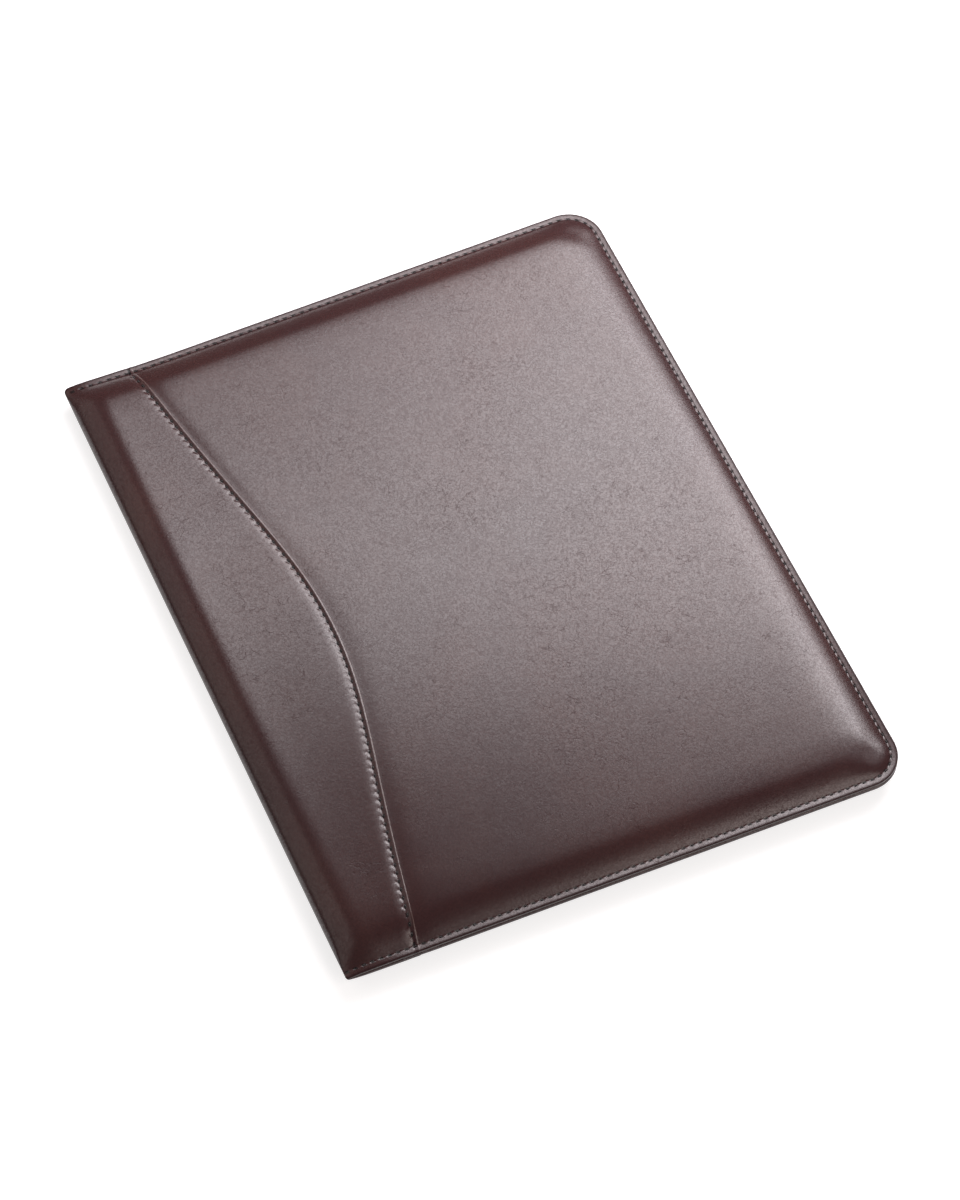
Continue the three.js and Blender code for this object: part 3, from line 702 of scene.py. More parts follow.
overlaySkin("front_overlay_skin", 1, ("front_cover", "spine", (-112.0, 0.0, 16.4), (-123.6, 0.0, 9.6)),
            ["front_overlay_leather", "spine_leather"])
overlaySkin("rear_overlay_skin", -1, ("rear_cover", "spine", (-112.0, 0.0, 0.7), (-123.6, 0.0, 7.5)),
            ["rear_overlay_leather"])
print("portfolio: overlay made")


threadLook = {
    # the thread is far darker than the leather: dark thread, darkened further with painted shade so the
    # stitches read as dark dashes in their holes
    "colour": (0.0055, 0.0028, 0.003), "light": (0.014, 0.007, 0.0075), "roughness": 0.62,
    "strandScale": 900.0, "fuzzScale": 1500.0, "strandDepth": 0.08,
}
stitchForm = {
    "length": 1.75, "width": 0.74, "height": 0.40, "sink": 0.30, "lift": 0.04, "thinnest": 0.3,
    "shift": 0.06, "lean": 0.07, "lengths": (0.95, 1.04), "rings": 7, "around": 8, "aim": 0.2,
    "pitch": 3.3, "step": 1.5,
}


def makeThread():
    finish, rough = Finish("thread"), threadLook["roughness"]
    strands = finish.level("Fac", "ShaderNodeTexWave", {
        "Vector": finish.place, "Scale": threadLook["strandScale"], "Distortion": 2.0, "Detail": 1.0})
    fuzz = finish.noise(threadLook["fuzzScale"], 2.0)
    colour = fuzz.mix(threadLook["colour"], threadLook["light"])
    return finish.complete(colour, strands, threadLook["strandDepth"],
                           fuzz.ramp(0.3, 0.7, rough - 0.08, rough + 0.1), strength=0.5)


thread = makeThread()


def unit(vector):
    # the same direction, one long
    return vector / max(np.linalg.norm(vector), 1e-9)


def sewLine(name, path, counted, outward, body):
    # small sunken capsules along a path of points, outward is the side they lie on
    form, path = stitchForm, np.asarray(path, float)
    run = runningSum(stepLengths(path))
    rings, around = form["rings"], form["around"]

    def pathAt(at):
        return np.array([np.interp(at, run, path[:, axis]) for axis in range(3)])

    points, faces = [], []
    for number in range(math.ceil(counted[0]), math.floor(counted[-1])):
        centreRun = float(np.interp(number + 0.5, counted, run))
        shift = random.uniform(-form["shift"], form["shift"])
        lean = random.uniform(-form["lean"], form["lean"])
        half = form["length"] / 2 * random.uniform(*form["lengths"])
        base = len(points)
        for ring in range(rings):
            u = -1 + 2 * ring / (rings - 1)
            at = centreRun + u * half
            tangent = unit(pathAt(at + form["aim"]) - pathAt(at - form["aim"]))
            sideways = unit(np.cross([0.0, 0.0, outward], tangent))
            up = np.cross(tangent, sideways)
            centre = pathAt(at) + sideways * (shift + lean * u * half)
            centre = centre + up * (form["lift"] - form["sink"] * u * u)
            thick = max(math.sqrt(1 - abs(u) ** 3), form["thinnest"])
            for k in range(around):
                angle = 2 * math.pi * k / around
                points.append(centre + sideways * math.cos(angle) * form["width"] / 2 * thick
                              + up * math.sin(angle) * form["height"] / 2 * thick)
        faces += tubeFaces(rings, around, base)
        faces.append(tuple(range(base + around - 1, base - 1, -1)))
        faces.append(tuple(range(len(points) - around, len(points))))
    makeMesh(name, flare(points), faces, body, (), thread)


def rimSurface(path, side):
    # the rim's stitch line laid on the leather
    middle, half = rollShape(stitchInset)
    groove = float(rimShape(stitchInset) - rimGroove(stitchInset))
    heights = []
    for x, y in path:
        along = (rollStart - x) / rollDepth
        if x < rollStart:
            heights.append(parting + middle + side * half * math.sqrt(max(1 - along * along, 0)))
        else:
            form = overlayForm if x < seamAt(y) else panelForm
            heights.append(parting + side * (form["rim"] + groove))
    return atHeight(path, heights)


def seamStitchPath(side):
    end = headEdge - seamForm["stitchEnd"]
    y = np.linspace(-end, end, seamForm["pathSteps"])
    x = seamAt(y) - seamForm["stitchInset"] / seamCosine(y)
    return np.column_stack([x, y, parting + side * overlayFlat(x, y, side)])


rimLine = rimPath()
for label, side in covers:
    sewLine(label + "_rim_stitches", rimSurface(rimLine, side), stitchCount(rimLine), side, label + "_cover")
    seamLine = seamStitchPath(side)
    sewLine(label + "_seam_stitches", seamLine, seamStitch(seamLine[:, 1]), side, label + "_cover")
print("portfolio: stitches sewn")


# finishes of the inside
innerLook = {
    "clothDark": (0.010, 0.0075, 0.0078), "clothLight": (0.027, 0.0205, 0.0205), "clothPitch": 0.52,
    "elastic": (0.009, 0.0068, 0.007), "elasticLight": (0.024, 0.018, 0.018),
    "ribPitch": 0.9, "weftPitch": 0.35,
    "paper": (0.66, 0.64, 0.575), "sheetGapShade": (0.42, 0.40, 0.35), "paperShine": 0.15,
    "sheetScale": (18.0, 18.0, 9000.0),     # sheets of the pad show as thin layers
    "ruleLine": (0.30, 0.40, 0.53), "marginLine": (0.52, 0.20, 0.20), "lineStrength": 0.75,
    "rulePitch": 7.1, "ruleStart": 112.0, "ruleShare": 0.045, "marginPlace": -72.0, "marginHalf": 0.16,
    "board": (0.27, 0.235, 0.185), "tape": (0.085, 0.020, 0.025), "foam": (0.58, 0.55, 0.48),
}


def threadWave(value, pitch):
    # rounded ridges, one for each pitch in millimetres
    return abs((value * (math.pi / (pitch * mm))).math("SINE"))


def makeCloth():
    # plain weave: the two thread directions take turns on top
    finish, pitch = Finish("liningCloth"), innerLook["clothPitch"]
    place = finish.bent(0.00016, 180.0, 2.0, 0.5)
    across, along = (threadWave(axis, pitch) for axis in finish.axes(place)[:2])
    checks = finish.level("Fac", "ShaderNodeTexChecker", {"Vector": place, "Scale": 1.0 / (pitch * mm)})
    weave = across * checks + along * (1.0 - checks)
    fuzz = finish.noise(2200.0, 2.0, 0.7)
    # lighter on the crowns of the threads and darker between them: painted shade of the weave, mixed with
    # random fuzz and patches
    share = (weave + fuzz) * finish.noise(40.0, 4.0, 0.6).ramp(0.3, 0.7, 0.35, 0.62)
    colour = share.mix(innerLook["clothDark"], innerLook["clothLight"])
    return finish.complete(colour, weave + fuzz * 0.5, 0.07, fuzz.ramp(0.3, 0.7, 0.74, 0.9),
                           more={"Sheen Weight": 0.12, "Sheen Roughness": 0.5})


def makeElastic():
    finish = Finish("elasticWeb")
    x, y, z = finish.axes(finish.place)
    ribs = threadWave(y, innerLook["ribPitch"])
    weft = threadWave(x + z, innerLook["weftPitch"])
    fuzz = finish.noise(1800.0, 3.0, 0.7)
    # lighter on the crowns of the ribs and darker between them: painted shade, mixed with random fuzz
    colour = ((ribs + fuzz) * 0.5).mix(innerLook["elastic"], innerLook["elasticLight"])
    return finish.complete(colour, ribs + weft * 0.35, 0.16, fuzz.ramp(0.3, 0.7, 0.7, 0.88),
                           more={"Sheen Weight": 0.1})


def makePaper():
    look, finish = innerLook, Finish("writingPaper")
    x, y, z = finish.axes(finish.place)
    top = finish.axes(finish.level("True Normal", "ShaderNodeNewGeometry"))[2].math("GREATER_THAN", 0.5)
    fibre = finish.noise(900.0, 4.0, 0.7)
    colour = ((fibre + finish.noise(30.0, 3.0)) * 0.5).mix(darker(look["paper"], 0.93), look["paper"])
    # ruled lines and one margin line, on the top only
    down = look["ruleStart"] * mm - y
    share = down.math("DIVIDE", look["rulePitch"] * mm).math("FRACT")
    rule = share.math("LESS_THAN", look["ruleShare"]) * down.math("GREATER_THAN", 0.0)
    margin = abs(x - look["marginPlace"] * mm).math("LESS_THAN", look["marginHalf"] * mm)
    colour = (rule * top * look["lineStrength"]).mix(colour, look["ruleLine"])
    colour = (margin * top * look["lineStrength"]).mix(colour, look["marginLine"])
    # edges of the sheets show as uneven thin layers, with painted shade in the gaps between the sheets
    stretched = finish.level(0, "ShaderNodeVectorMath", {0: finish.place, 1: look["sheetScale"]},
                             operation="MULTIPLY")
    layers = finish.level("Fac", "ShaderNodeTexNoise", {"Vector": stretched, "Scale": 1.0, "Detail": 3.0})
    side = 1.0 - top
    colour = (layers.ramp(0.4, 0.7, 0.0, 0.45) * side).mix(colour, look["sheetGapShade"])
    return finish.complete(colour, fibre * 0.25 + layers * side, 0.06, fibre.ramp(0.3, 0.7, 0.84, 0.94),
                           more={"Specular IOR Level": look["paperShine"]})


def makeSpeckled(name, colour, roughness, scale, depth):
    finish = Finish(name)
    cloud, speck = finish.noise(scale, 5.0, 0.65), finish.noise(scale * 14, 3.0, 0.7)
    tint = cloud.ramp(0.3, 0.7).mix(darker(colour, 0.7), colour)
    tint = speck.ramp(0.55, 0.75, 0.0, 0.5).mix(tint, darker(colour, 0.45))
    return finish.complete(tint, speck, depth, cloud.ramp(0.3, 0.7, roughness - 0.05, roughness + 0.05))


pocketLeather = makeCoverLeather("pocketLeather", [], {
    "colour": (0.026, 0.0105, 0.011), "dark": (0.015, 0.0065, 0.007), "warm": (0.034, 0.0140, 0.0135),
    "roughness": 0.40, "pebbleDepth": 0.03})
slotLooks = {
    "cover_leather": panelLeather,
    "pocket_leather": pocketLeather,
    "lining": makeCloth(),
    "padding": makeSpeckled("foamSheet", innerLook["foam"], 0.95, 120.0, 0.2),
    "board": makeSpeckled("chipboard", innerLook["board"], 0.9, 70.0, 0.08),
    "elastic": makeElastic(),
    "paper": makePaper(),
    "binding_tape": makeSpeckled("bindingTape", innerLook["tape"], 0.6, 160.0, 0.07),
}
for subpart in frame["record"]["subparts"]:
    node = bpy.data.objects.get(subpart["node"])
    if node is not None and node.type == "MESH":
        node.data.materials.clear()
        node.data.materials.append(slotLooks[subpart["material_slot"]])
print("portfolio: inside finishes ready")


insideForm = {
    "boardLeft": -108.025, "boardRight": 111.425, "boardTail": -146.35, "boardCorner": 10.0, "cornerSteps": 8,
    "liningZ": {1: 11.2, -1: 5.2}, "outlineStep": 12.0, "underInset": 0.3, "underRound": 0.1,
}
# rings of a leaf's turned edge as (inset, drop below its face)
hemRings = [(0.0, 0.25), (0.03, 0.12), (0.10, 0.04), (0.22, 0.0),
            (1.25, 0.0), (1.5, 0.04), (1.7, 0.11), (1.95, 0.13)]
# leather turned in over the rim and glued down to the lining
facingForm = {
    "start": -118.4, "step": 6.0, "turnSteps": 15,
    "insets": [0.5, 0.7, 1.0, 1.6, 2.2, 2.6, 2.85, 3.1, 3.6, 4.4, 5.4, 6.6, 7.8, 8.8, 9.8, 10.6, 11.2, 11.45,
               11.5, 11.5],
    "rim": 0.15, "climb": (3.6, 10.6), "overLining": 0.15,
    "ridge": 0.10, "ridgeWidth": 0.4,
    "tuckOuter": 0.5, "tuckInner": 0.45,
    "loopRise": 1.25, "loopRiseReach": 3.0,     # the front cover's inside rises over the pen loop
    "underLeather": 0.35, "stitchRise": 0.06,
}


def insetOutline(corners, inset):
    # moves each corner of a closed outline inward along its bisector
    corners = np.asarray(corners, float)
    inward = []
    for edges in (corners - np.roll(corners, 1, axis=0), np.roll(corners, -1, axis=0) - corners):
        edges = edges / np.linalg.norm(edges, axis=1)[:, None]
        inward.append(np.column_stack([-edges[:, 1], edges[:, 0]]))
    bisector = inward[0] + inward[1]
    # the limit keeps sharp corners from running away
    scale = inset / np.maximum((bisector * inward[0]).sum(axis=1), 0.35)
    return corners + bisector * scale[:, None]


def pointsBetween(start, end, step, fewest):
    count = max(fewest, int(math.dist(start, end) / step))
    return [(start[0] + (end[0] - start[0]) * k / count, start[1] + (end[1] - start[1]) * k / count)
            for k in range(count)]


def denseOutline(corners, step):
    return [point for start, end in zip(corners, corners[1:] + corners[:1])
            for point in pointsBetween(start, end, step, 1)]


def quarterTurn(centreX, centreY, radius, start, steps):
    # counterclockwise from an angle in degrees
    turns = [math.radians(start + 90 * k / steps) for k in range(steps + 1)]
    return [(centreX + radius * math.cos(t), centreY + radius * math.sin(t)) for t in turns]


def boardOutline(left, reach=0.0, tops=None):
    # square at the spine, round at the two fore-edge corners unless the tops, left and right, are cut lower
    radius, steps = insideForm["boardCorner"], insideForm["cornerSteps"]
    right, tail = insideForm["boardRight"] + reach, insideForm["boardTail"] - reach
    corners = [(left, tail)] + quarterTurn(right - radius, tail + radius, radius, -90, steps)
    if tops:
        return corners + [(right, tops[1]), (left, tops[0])]
    return corners + quarterTurn(right - radius, -tail - radius, radius, 0, steps) + [(left, -tail)]


def sheetPiece(name, corners, rings, faceZ, facingUp, body, slot, replaced, smooth=True):
    # corners run counterclockwise seen from above, rings are (inset, drop) from the under side to the face
    sign = 1.0 if facingUp else -1.0
    count = len(corners)
    points = [atHeight(insetOutline(corners, inset), faceZ - sign * drop) for inset, drop in rings]
    faces = tubeFaces(len(rings), count, flip=not facingUp)
    under, middle = tuple(range(count)), tuple(range((len(rings) - 1) * count, len(rings) * count))
    faces += [middle, under[::-1]] if facingUp else [middle[::-1], under]
    piece = makeMesh(name, np.concatenate(points), faces, body, replaced, slotLooks[slot], smooth=smooth)
    for number in (len(faces) - 1, len(faces) - 2):
        piece.data.polygons[number].use_smooth = False


def leafPiece(name, corners, faceZ, facingUp, body, slot, replaced, thickness=0.5, hemmed=True):
    rings = [(insideForm["underInset"], thickness), (0.0, thickness - insideForm["underRound"])]
    rings += hemRings if hemmed else hemRings[:4]
    sheetPiece(name, corners, rings, faceZ, facingUp, body, slot, replaced)


def straightStitches(name, corners, z, outward, body, pitch=stitchForm["pitch"]):
    path = [point for start, end in zip(corners[:-1], corners[1:])
            for point in pointsBetween(start, end, stitchForm["step"], 2)] + [corners[-1]]
    path = atHeight(path, z)
    sewLine(name, path, runningSum(stepLengths(path)) / pitch, outward, body)


def facingStrip(label, side):
    form = facingForm
    top = abs(insideForm["liningZ"][side] - parting) - form["overLining"]
    turns = np.linspace(0, math.pi / 2, form["turnSteps"])
    columns = spacedPlaces(form["start"], cornerX, form["step"])[:-1]
    rows = spacedPlaces(-cornerY, cornerY, form["step"])[1:-1]
    climbStart, climbEnd = form["climb"]
    points, insets = [], form["insets"]
    for number, inset in enumerate(insets):
        ring = rimRing(columns, inset, turns, rows)
        climb = min(max((inset - climbStart) / (climbEnd - climbStart), 0.0), 1.0)
        height = form["rim"] + (top - form["rim"]) * climb * climb * (3 - 2 * climb)
        height += form["ridge"] * math.exp(-((inset - stitchInset) / form["ridgeWidth"]) ** 2)
        # the first ring tucks up into the rim and the last one turns down to the lining
        height += form["tuckOuter"] if number == 0 else form["tuckInner"] if number == len(insets) - 1 else 0.0
        if side > 0:
            nearSpine = np.clip((insideForm["boardLeft"] - ring[:, 0]) / form["loopRiseReach"], 0, 1)
            height = height + form["loopRise"] * climb * nearSpine
        height = np.minimum(height, roofAt(ring[:, 0], ring[:, 1], side) - form["underLeather"])
        points.append(atHeight(ring, parting + side * height))
    faces = gridFaces(len(insets), len(ring), flip=side > 0)
    makeMesh(label + "_facing_skin", flare(np.concatenate(points)), faces, label + "_cover",
             [label + "_edge_facing"], pocketLeather)


for label, side in covers:
    facingStrip(label, side)
for label, side in covers:
    height = parting + side * (facingForm["rim"] + facingForm["stitchRise"])
    sewLine(label + "_inner_rim_stitches", atHeight(rimLine, height), stitchCount(rimLine), -side,
            label + "_cover")
print("portfolio: facings turned in")

# boards with their outer edges skived thin, faceZ is the side toward the padding
boardForm = {"skive": 7.0, "skiveDepth": 1.3, "thickness": 1.5, "frontZ": 13.3, "rearZ": 3.1}
boardRings = [(0.15, boardForm["thickness"]), (0.0, boardForm["thickness"] - 0.12),
              (0.0, boardForm["skiveDepth"]), (boardForm["skive"], 0.04), (boardForm["skive"] + 0.6, 0.0)]
for label, side in covers:
    sheetPiece(label + "_board_sheet", boardOutline(insideForm["boardLeft"]), boardRings,
               boardForm[label + "Z"], side > 0, label + "_cover", "board", [label + "_board"], smooth=False)
print("portfolio: boards cut")

# the stiffener's long edges are cut back inside the roll
stiffenerForm = {"low": Vector((0.1, 0.0, 1.1)), "high": Vector((0.35, 0.0, 1.1))}
stiffLow, stiffHigh = (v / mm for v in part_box("spine_stiffener"))
stiffLow, stiffHigh = stiffLow + stiffenerForm["low"], stiffHigh - stiffenerForm["high"]
stiffPoints = [(x, y, z) for x in (stiffLow.x, stiffHigh.x) for y in (stiffLow.y, stiffHigh.y)
               for z in (stiffLow.z, stiffHigh.z)]
stiffFaces = [(0, 1, 3, 2), (4, 6, 7, 5), (0, 4, 5, 1), (2, 3, 7, 6), (0, 2, 6, 4), (1, 5, 7, 3)]
makeMesh("spine_board_strip", stiffPoints, stiffFaces, "spine", ["spine_stiffener"],
         slotLooks["board"], smooth=False)

# linings reach a little under the facings
liningForm = {"reach": 1.2, "frontLeft": insideForm["boardLeft"] - 0.2, "rearLeft": -115.5}
for label, side in covers:
    corners = boardOutline(liningForm[label + "Left"], liningForm["reach"])
    leafPiece(label + "_lining_cloth", corners, insideForm["liningZ"][side], side < 0, label + "_cover",
              "lining", [label + "_lining"], hemmed=False)

# lining over the gutters and round the inside of the spine, split like the overlay
gutterForm = {
    "end": {1: 149.5, -1: 150.75}, "rowStep": 4.0, "endSteps": (0.25, 1.0), "endTuck": 0.3,
    "slack": 0.05, "slackTurns": (0.11, 0.043), "underLeather": 0.4,
    "rollStart": -110.025, "radiusX": 11.1, "radiusZ": 5.85,
    "rollRise": 1.0, "rollAngle": 34.0, "rollPoints": 9,
    "flare": 1.014,             # the leather above is drawn in about this much
}
gutterPaths = {
    1: [(-106.6, 11.05), (-107.4, 11.16), (-108.0, 11.4), (-108.6, 12.2), (-109.3, 12.75), (-110.4, 12.9),
        (-113.0, 12.9), (-116.0, 12.9), (-117.6, 12.75), (-118.5, 12.42)],
    -1: [(-113.5, 5.08), (-114.0, 5.22), (-115.0, 5.24), (-116.5, 5.2), (-117.6, 5.14), (-118.5, 5.06)],
}


def gutterCloth(name, side, body, replaced):
    form = gutterForm
    section = list(gutterPaths[side])
    for turn in np.radians(np.linspace(form["rollAngle"], 0.0, form["rollPoints"])):
        section.append((form["rollStart"] - form["radiusX"] * math.cos(turn),
                        parting + form["rollRise"] + side * form["radiusZ"] * math.sin(turn)))
    end, (near, far) = form["end"][side], form["endSteps"]
    rows = [-end, -end + near, *spacedPlaces(-end + far, end - far, form["rowStep"]), end - near, end]
    turnSine, turnCosine = form["slackTurns"]
    points = []
    for y in rows:
        # the ends are tucked in, and the cloth pulls slightly between them
        shift = side * (form["endTuck"] if abs(y) == end else 0.0)
        shift += form["slack"] * math.sin(y * turnSine) * math.cos(y * turnCosine)
        for x, z in section:
            roof = parting + side * (float(roofAt(x, y * form["flare"], side)) - form["underLeather"])
            points.append((x, y, min(z + shift, roof) if side > 0 else max(z + shift, roof)))
    makeMesh(name, points, gridFaces(len(rows), len(section), flip=side > 0), body, replaced,
             slotLooks["lining"])


gutterCloth("front_gutter_cloth", 1, ("front_cover", "spine", (-112.0, 0.0, 14.6), (-120.9, 0.0, 10.6)),
            ["front_gutter_lining", "spine_lining"])
gutterCloth("rear_gutter_cloth", -1, ("rear_cover", "spine", (-112.0, 0.0, 2.5), (-120.9, 0.0, 6.5)),
            ["spine_lining"])
print("portfolio: linings laid")

# document pocket with a slanted mouth, two card pockets with thumb notches, and the pad's holder
pocketForm = {
    "faceZ": 10.6, "heightAtSpine": 242.0, "heightAtForeEdge": 206.0,
    "cardZ": 10.0, "cardHeight": 62.0, "cardRise": 54.0, "cardMargin": 6.0, "cardGap": 12.0,
    "notchWidth": 22.0, "notchDepth": 7.0, "notchPoints": 13,
    "stitchIn": 2.0, "stitchSide": 1.5, "stitchTop": 1.0,
    "holderZ": 6.7, "holderLeft": -104.825, "holderTop": 39.65,
}


def makeMouth(name, left, tops, faceZ, facingUp, body, replaced):
    # a pocket as wide as the board, sewn along its mouth
    form, right = pocketForm, insideForm["boardRight"]
    corners = denseOutline(boardOutline(left, 0.0, tops), insideForm["outlineStep"])
    leafPiece(name + "_leaf", corners, faceZ, facingUp, body, "pocket_leather", [replaced])
    mouth = [(left + form["stitchSide"], tops[0] - form["stitchIn"]),
             (right - form["stitchSide"], tops[1] - form["stitchIn"])]
    straightStitches(name + "_stitches", mouth, faceZ, 1.0 if facingUp else -1.0, body)


def makePockets():
    form = pocketForm
    left, right, tail = (insideForm[key] for key in ("boardLeft", "boardRight", "boardTail"))
    tops = (tail + form["heightAtSpine"], tail + form["heightAtForeEdge"])
    makeMouth("document_pocket", left, tops, form["faceZ"], False, "front_cover", "document_pocket")
    width = (right - left - form["cardGap"]) / 2 - form["cardMargin"]
    bottom = tail + form["cardRise"]
    top = bottom + form["cardHeight"]
    inside, half = form["stitchIn"], form["notchWidth"] / 2
    for label, cardLeft in (("left", left + form["cardMargin"]), ("right", right - form["cardMargin"] - width)):
        cardRight, middle = cardLeft + width, cardLeft + width / 2
        notch = [(middle + half * (1 - 2 * t), top - 4 * form["notchDepth"] * t * (1 - t))
                 for t in np.linspace(0, 1, form["notchPoints"])]
        corners = [(cardLeft, bottom), (cardRight, bottom), (cardRight, top)] + notch + [(cardLeft, top)]
        leafPiece("card_pocket_%s_leaf" % label, corners, form["cardZ"], False, "front_cover", "pocket_leather",
                  ["card_pocket_" + label])
        sewn = [(cardLeft + inside, top - form["stitchTop"]), (cardLeft + inside, bottom + inside),
                (cardRight - inside, bottom + inside), (cardRight - inside, top - form["stitchTop"])]
        straightStitches("card_pocket_%s_stitches" % label, sewn, form["cardZ"], -1.0, "front_cover")
    makeMouth("pad_holder", form["holderLeft"], (form["holderTop"], form["holderTop"]), form["holderZ"], True,
              "rear_cover", "pad_holder")


makePockets()
print("portfolio: pockets sewn")

# elastic loop for a pen, sewn down by its tab
loopForm = {
    "left": -118.025, "width": 7.4, "bottom": 5.3, "height": 7.4, "wall": 0.95, "corner": 1.9, "cornerSteps": 6,
    "tail": -1.0, "head": 41.0, "tabRight": -105.025, "tabThickness": 0.6,
    "bulge": 0.10, "lap": 0.18, "rows": 29,
    "tabStep": 3.0, "stitchShift": 1.4, "stitchEnd": 1.5, "stitchPitch": 2.6,
}


def loopRing(wall):
    # section of the loop, this far inside its outer side
    form = loopForm
    radius = form["corner"] - wall
    west, east = form["left"] + form["corner"], form["left"] + form["width"] - form["corner"]
    low, high = form["bottom"] + form["corner"], form["bottom"] + form["height"] - form["corner"]
    corners = ((east, low, -90), (east, high, 0), (west, high, 90), (west, low, 180))
    return [point for x, z, start in corners for point in quarterTurn(x, z, radius, start, form["cornerSteps"])]


def makePenLoop():
    form, tail, head = loopForm, loopForm["tail"], loopForm["head"]
    east, faceZ = form["left"] + form["width"], form["bottom"] + form["tabThickness"]
    centreX, centreZ = form["left"] + form["width"] / 2, form["bottom"] + form["height"] / 2
    rows = form["rows"]
    points = []
    for wall, direction in ((0.0, 1.0), (form["wall"], -1.0)):
        for number, y in enumerate(np.linspace(tail, head, rows)):
            lap = form["lap"] if number in (0, rows - 1) else 0.0
            swell = form["bulge"] * (math.sin(math.pi * number / (rows - 1)) - 1) - lap * direction
            for x, z in loopRing(wall):
                away = math.hypot(x - centreX, z - centreZ)
                points.append((x + (x - centreX) / away * swell, y, z + (z - centreZ) / away * swell))
    # outer side, inner side, then the two ends
    count = len(loopRing(0.0))
    other = rows * count
    faces = [(a, d, c, b) for a, b, c, d in tubeFaces(rows, count)]
    faces += [(b, c, d, a) for a, b, c, d in tubeFaces(rows, count, other)]
    faces += bandFaces(0, other, count) + bandFaces(other - count, 2 * other - count, count, flip=True)
    makeMesh("pen_loop_elastic", points, faces, "rear_cover", ["pen_loop"], slotLooks["elastic"])
    tabLeft, tabRight = east - form["corner"], form["tabRight"]
    tab = denseOutline([(tabLeft, tail), (tabRight, tail), (tabRight, head), (tabLeft, head)], form["tabStep"])
    leafPiece("pen_loop_tab", tab, faceZ, True, "rear_cover", "elastic", ["pen_loop"], form["tabThickness"],
              hemmed=False)
    for number, shift in enumerate((-form["stitchShift"], form["stitchShift"])):
        x = (east + tabRight) / 2 + shift
        line = [(x, tail + form["stitchEnd"]), (x, head - form["stitchEnd"])]
        straightStitches("pen_loop_stitches_%d" % number, line, faceZ, 1.0, "rear_cover", form["stitchPitch"])


makePenLoop()
print("portfolio: pen loop made")


# floor, light and camera
stageLook = {
    "floorColour": (0.55, 0.55, 0.55), "floorGlow": 0.71, "floorSize": 6.0,
    "worldLevel": 0.145,
    "boxPlace": (0.5811, 0.4270, 0.56), "boxSize": (1.30, 1.30), "boxTurn": -20.0, "boxPower": 44.5,
    "boxColour": (1.0, 0.948, 0.97),
    # brightness over the softbox as (from, to) shares of its width and depth
    "boxLeft": (0.0, 0.035), "boxLeftLevel": (0.30, 0.40, 0.76, 0.46),
    "boxRamp": (0.123, 0.285), "boxRight": (0.66, 0.805), "boxRightSkew": (0.5, 0.38),
    "boxFront": (0.183, 0.336), "boxSkew": (0.02, 0.23), "boxBack": (0.47, 0.877), "boxBackSkew": -0.55,
    "boxToe": (0.17, 0.27, 0.16),   # a low level that reaches further to the front at the right
    "sidePlace": (-1.03, 0.55, 0.56), "sideSize": (1.57, 1.5), "sidePower": 5.0,
    "fillPlace": (0.75, -1.35, 1.5), "fillSize": (1.2, 2.1), "fillPower": 29.0,
    "fillColour": (1.0, 0.87, 0.82),
    "fillLeft": (0.04, 0.42), "fillTop": (0.70, 0.91),
}


def makeFloor():
    size = stageLook["floorSize"] / mm
    floor = makeMesh("floor", [(-size, -size, 0.0), (size, -size, 0.0), (size, size, 0.0), (-size, size, 0.0)],
                     [(0, 1, 2, 3)], smooth=False)
    finish = Finish("floorPaper")
    tree, shader = finish.tree, finish.shader
    plug(tree, shader, {"Base Color": stageLook["floorColour"], "Roughness": 0.9, "Specular IOR Level": 0.0})
    seen, glossy, through = (finish.level("Is %s Ray" % kind, "ShaderNodeLightPath")
                             for kind in ("Camera", "Glossy", "Transmission"))
    seen = (seen + glossy).math("ADD", through, use_clamp=True)
    glow = addNode(tree, "ShaderNodeEmission", {"Strength": seen * stageLook["floorGlow"]})
    total = addNode(tree, "ShaderNodeAddShader", {0: shader.outputs["BSDF"], 1: glow.outputs["Emission"]})
    plug(tree, finish.out, {"Surface": total.outputs["Shader"]})
    floor.data.materials.append(finish.material)


def makeLamp(name, label, colour, rotation=(0.0, 0.0, 0.0), makeLevels=None):
    data = bpy.data.lights.new(name, "AREA")
    data.shape = "RECTANGLE"
    data.size, data.size_y = stageLook[label + "Size"]
    data.energy = stageLook[label + "Power"]
    data.color = colour
    lamp = bpy.data.objects.new(name, data)
    bpy.context.scene.collection.objects.link(lamp)
    lamp.location = stageLook[label + "Place"]
    lamp.rotation_euler = rotation
    lamp.visible_camera = False
    if makeLevels:
        # brightness that varies over the lamp's own face
        data.use_nodes = True
        tree = data.node_tree
        glow = [n for n in tree.nodes if n.type == "EMISSION"][0]
        place = madeLevel(tree, "Parametric", "ShaderNodeNewGeometry")
        axes = [madeLevel(tree, axis, "ShaderNodeSeparateXYZ", {"Vector": place}) for axis in "XY"]
        plug(tree, glow, {"Strength": makeLevels(*axes)})


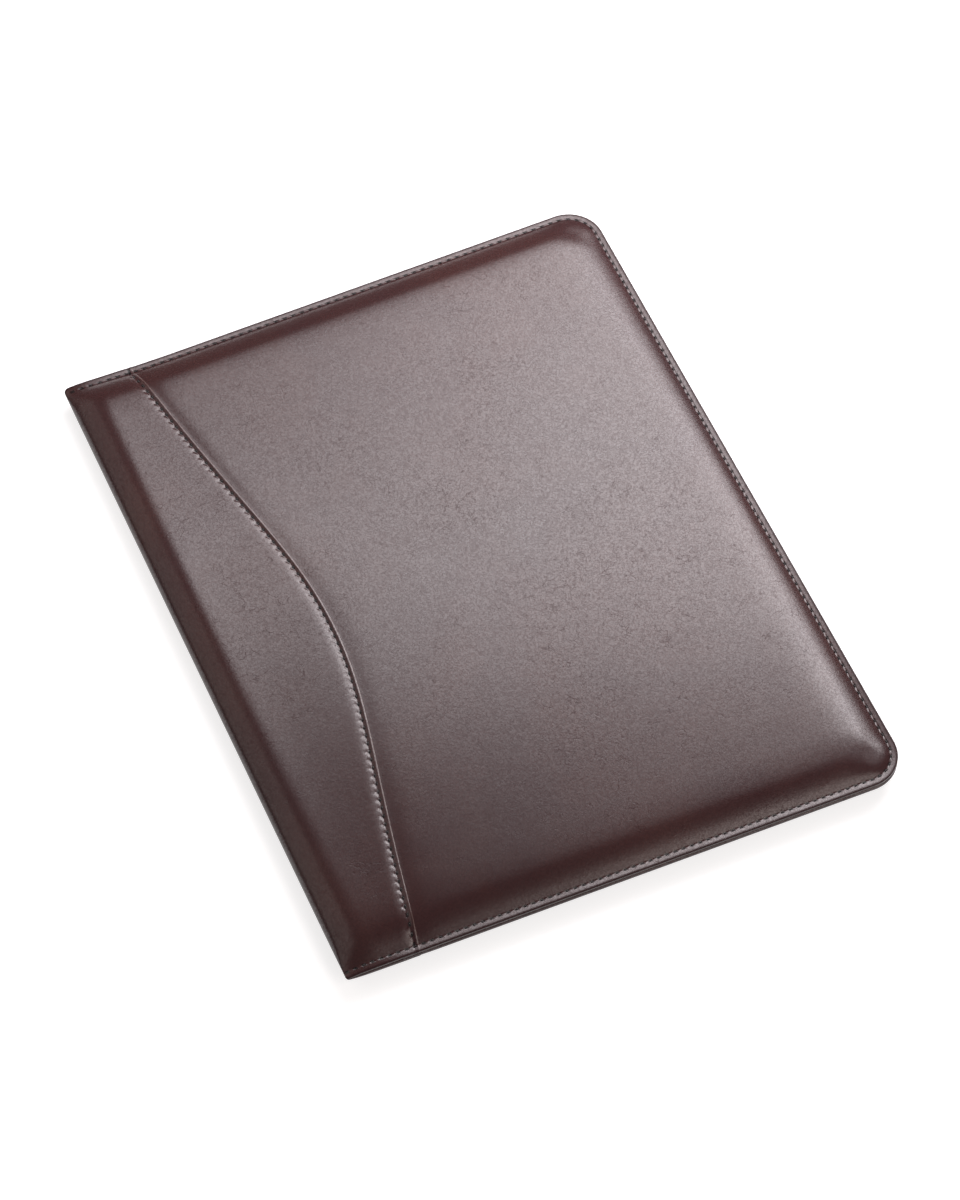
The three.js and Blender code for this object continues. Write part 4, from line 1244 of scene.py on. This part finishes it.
def boxLevels(across, deep):
    # dimmer at the left end, with a long soft fade at the front
    look = stageLook
    low = deep.ramp(*look["boxLeftLevel"])
    left = low + across.ramp(*look["boxRamp"]) * (1.0 - low)
    left = left * across.ease(*look["boxLeft"])
    skew, pivot = look["boxSkew"]
    fromPivot = across - pivot
    skewed = deep + fromPivot * skew
    toeStart, toeEnd, toeLevel = look["boxToe"]
    toe = across.ramp(toeStart, toeEnd, 0.0, toeLevel) * skewed.ease(0.0, look["boxFront"][0])
    front = skewed.ease(*look["boxFront"]).math("MAXIMUM", toe)
    rightSkew, rightPivot = look["boxRightSkew"]
    toRight = across + (rightPivot - deep) * rightSkew
    toBack = deep + fromPivot * look["boxBackSkew"]
    return left * front * toRight.ease(*look["boxRight"], 1.0, 0.0) * toBack.ease(*look["boxBack"], 1.0, 0.0)


def fillLevels(across, deep):
    return across.ease(*stageLook["fillLeft"]) * deep.ease(*stageLook["fillTop"], 1.0, 0.0)


makeFloor()
fillPlace = Vector(stageLook["fillPlace"])
fillAim = (Vector((fillPlace.x, 0.0, 0.0)) - fillPlace).to_track_quat("-Z", "Y").to_euler()
makeLamp("softbox", "box", stageLook["boxColour"], (0.0, 0.0, math.radians(stageLook["boxTurn"])), boxLevels)
makeLamp("side", "side", stageLook["fillColour"])
makeLamp("fill", "fill", stageLook["fillColour"], fillAim, fillLevels)

world = bpy.data.worlds.new("studio")
bpy.context.scene.world = world
world.use_nodes = True
plug(world.node_tree, world.node_tree.nodes["Background"],
     {"Color": (1.0, 1.0, 1.0), "Strength": stageLook["worldLevel"]})

view = {"azimuth": -23.584, "elevation": 56.118, "distance": 1.976, "lens": 141.42, "sensor": 36.0,
        "target": (-0.0009, -0.0076, 0.0)}
cameraData = bpy.data.cameras.new("camera")
cameraData.sensor_fit = "VERTICAL"
cameraData.sensor_height = cameraData.sensor_width = view["sensor"]
cameraData.lens = view["lens"]
camera = bpy.data.objects.new("camera", cameraData)
bpy.context.scene.collection.objects.link(camera)
az, el = math.radians(view["azimuth"]), math.radians(view["elevation"])
back = Vector((math.sin(az) * math.cos(el), -math.cos(az) * math.cos(el), math.sin(el)))
camera.location = Vector(view["target"]) + back * view["distance"]
camera.rotation_mode = "QUATERNION"
camera.rotation_quaternion = (-back).to_track_quat("-Z", "Y")
bpy.context.scene.camera = camera
bpy.context.scene.view_settings.view_transform = "Standard"
print("portfolio: stage set")
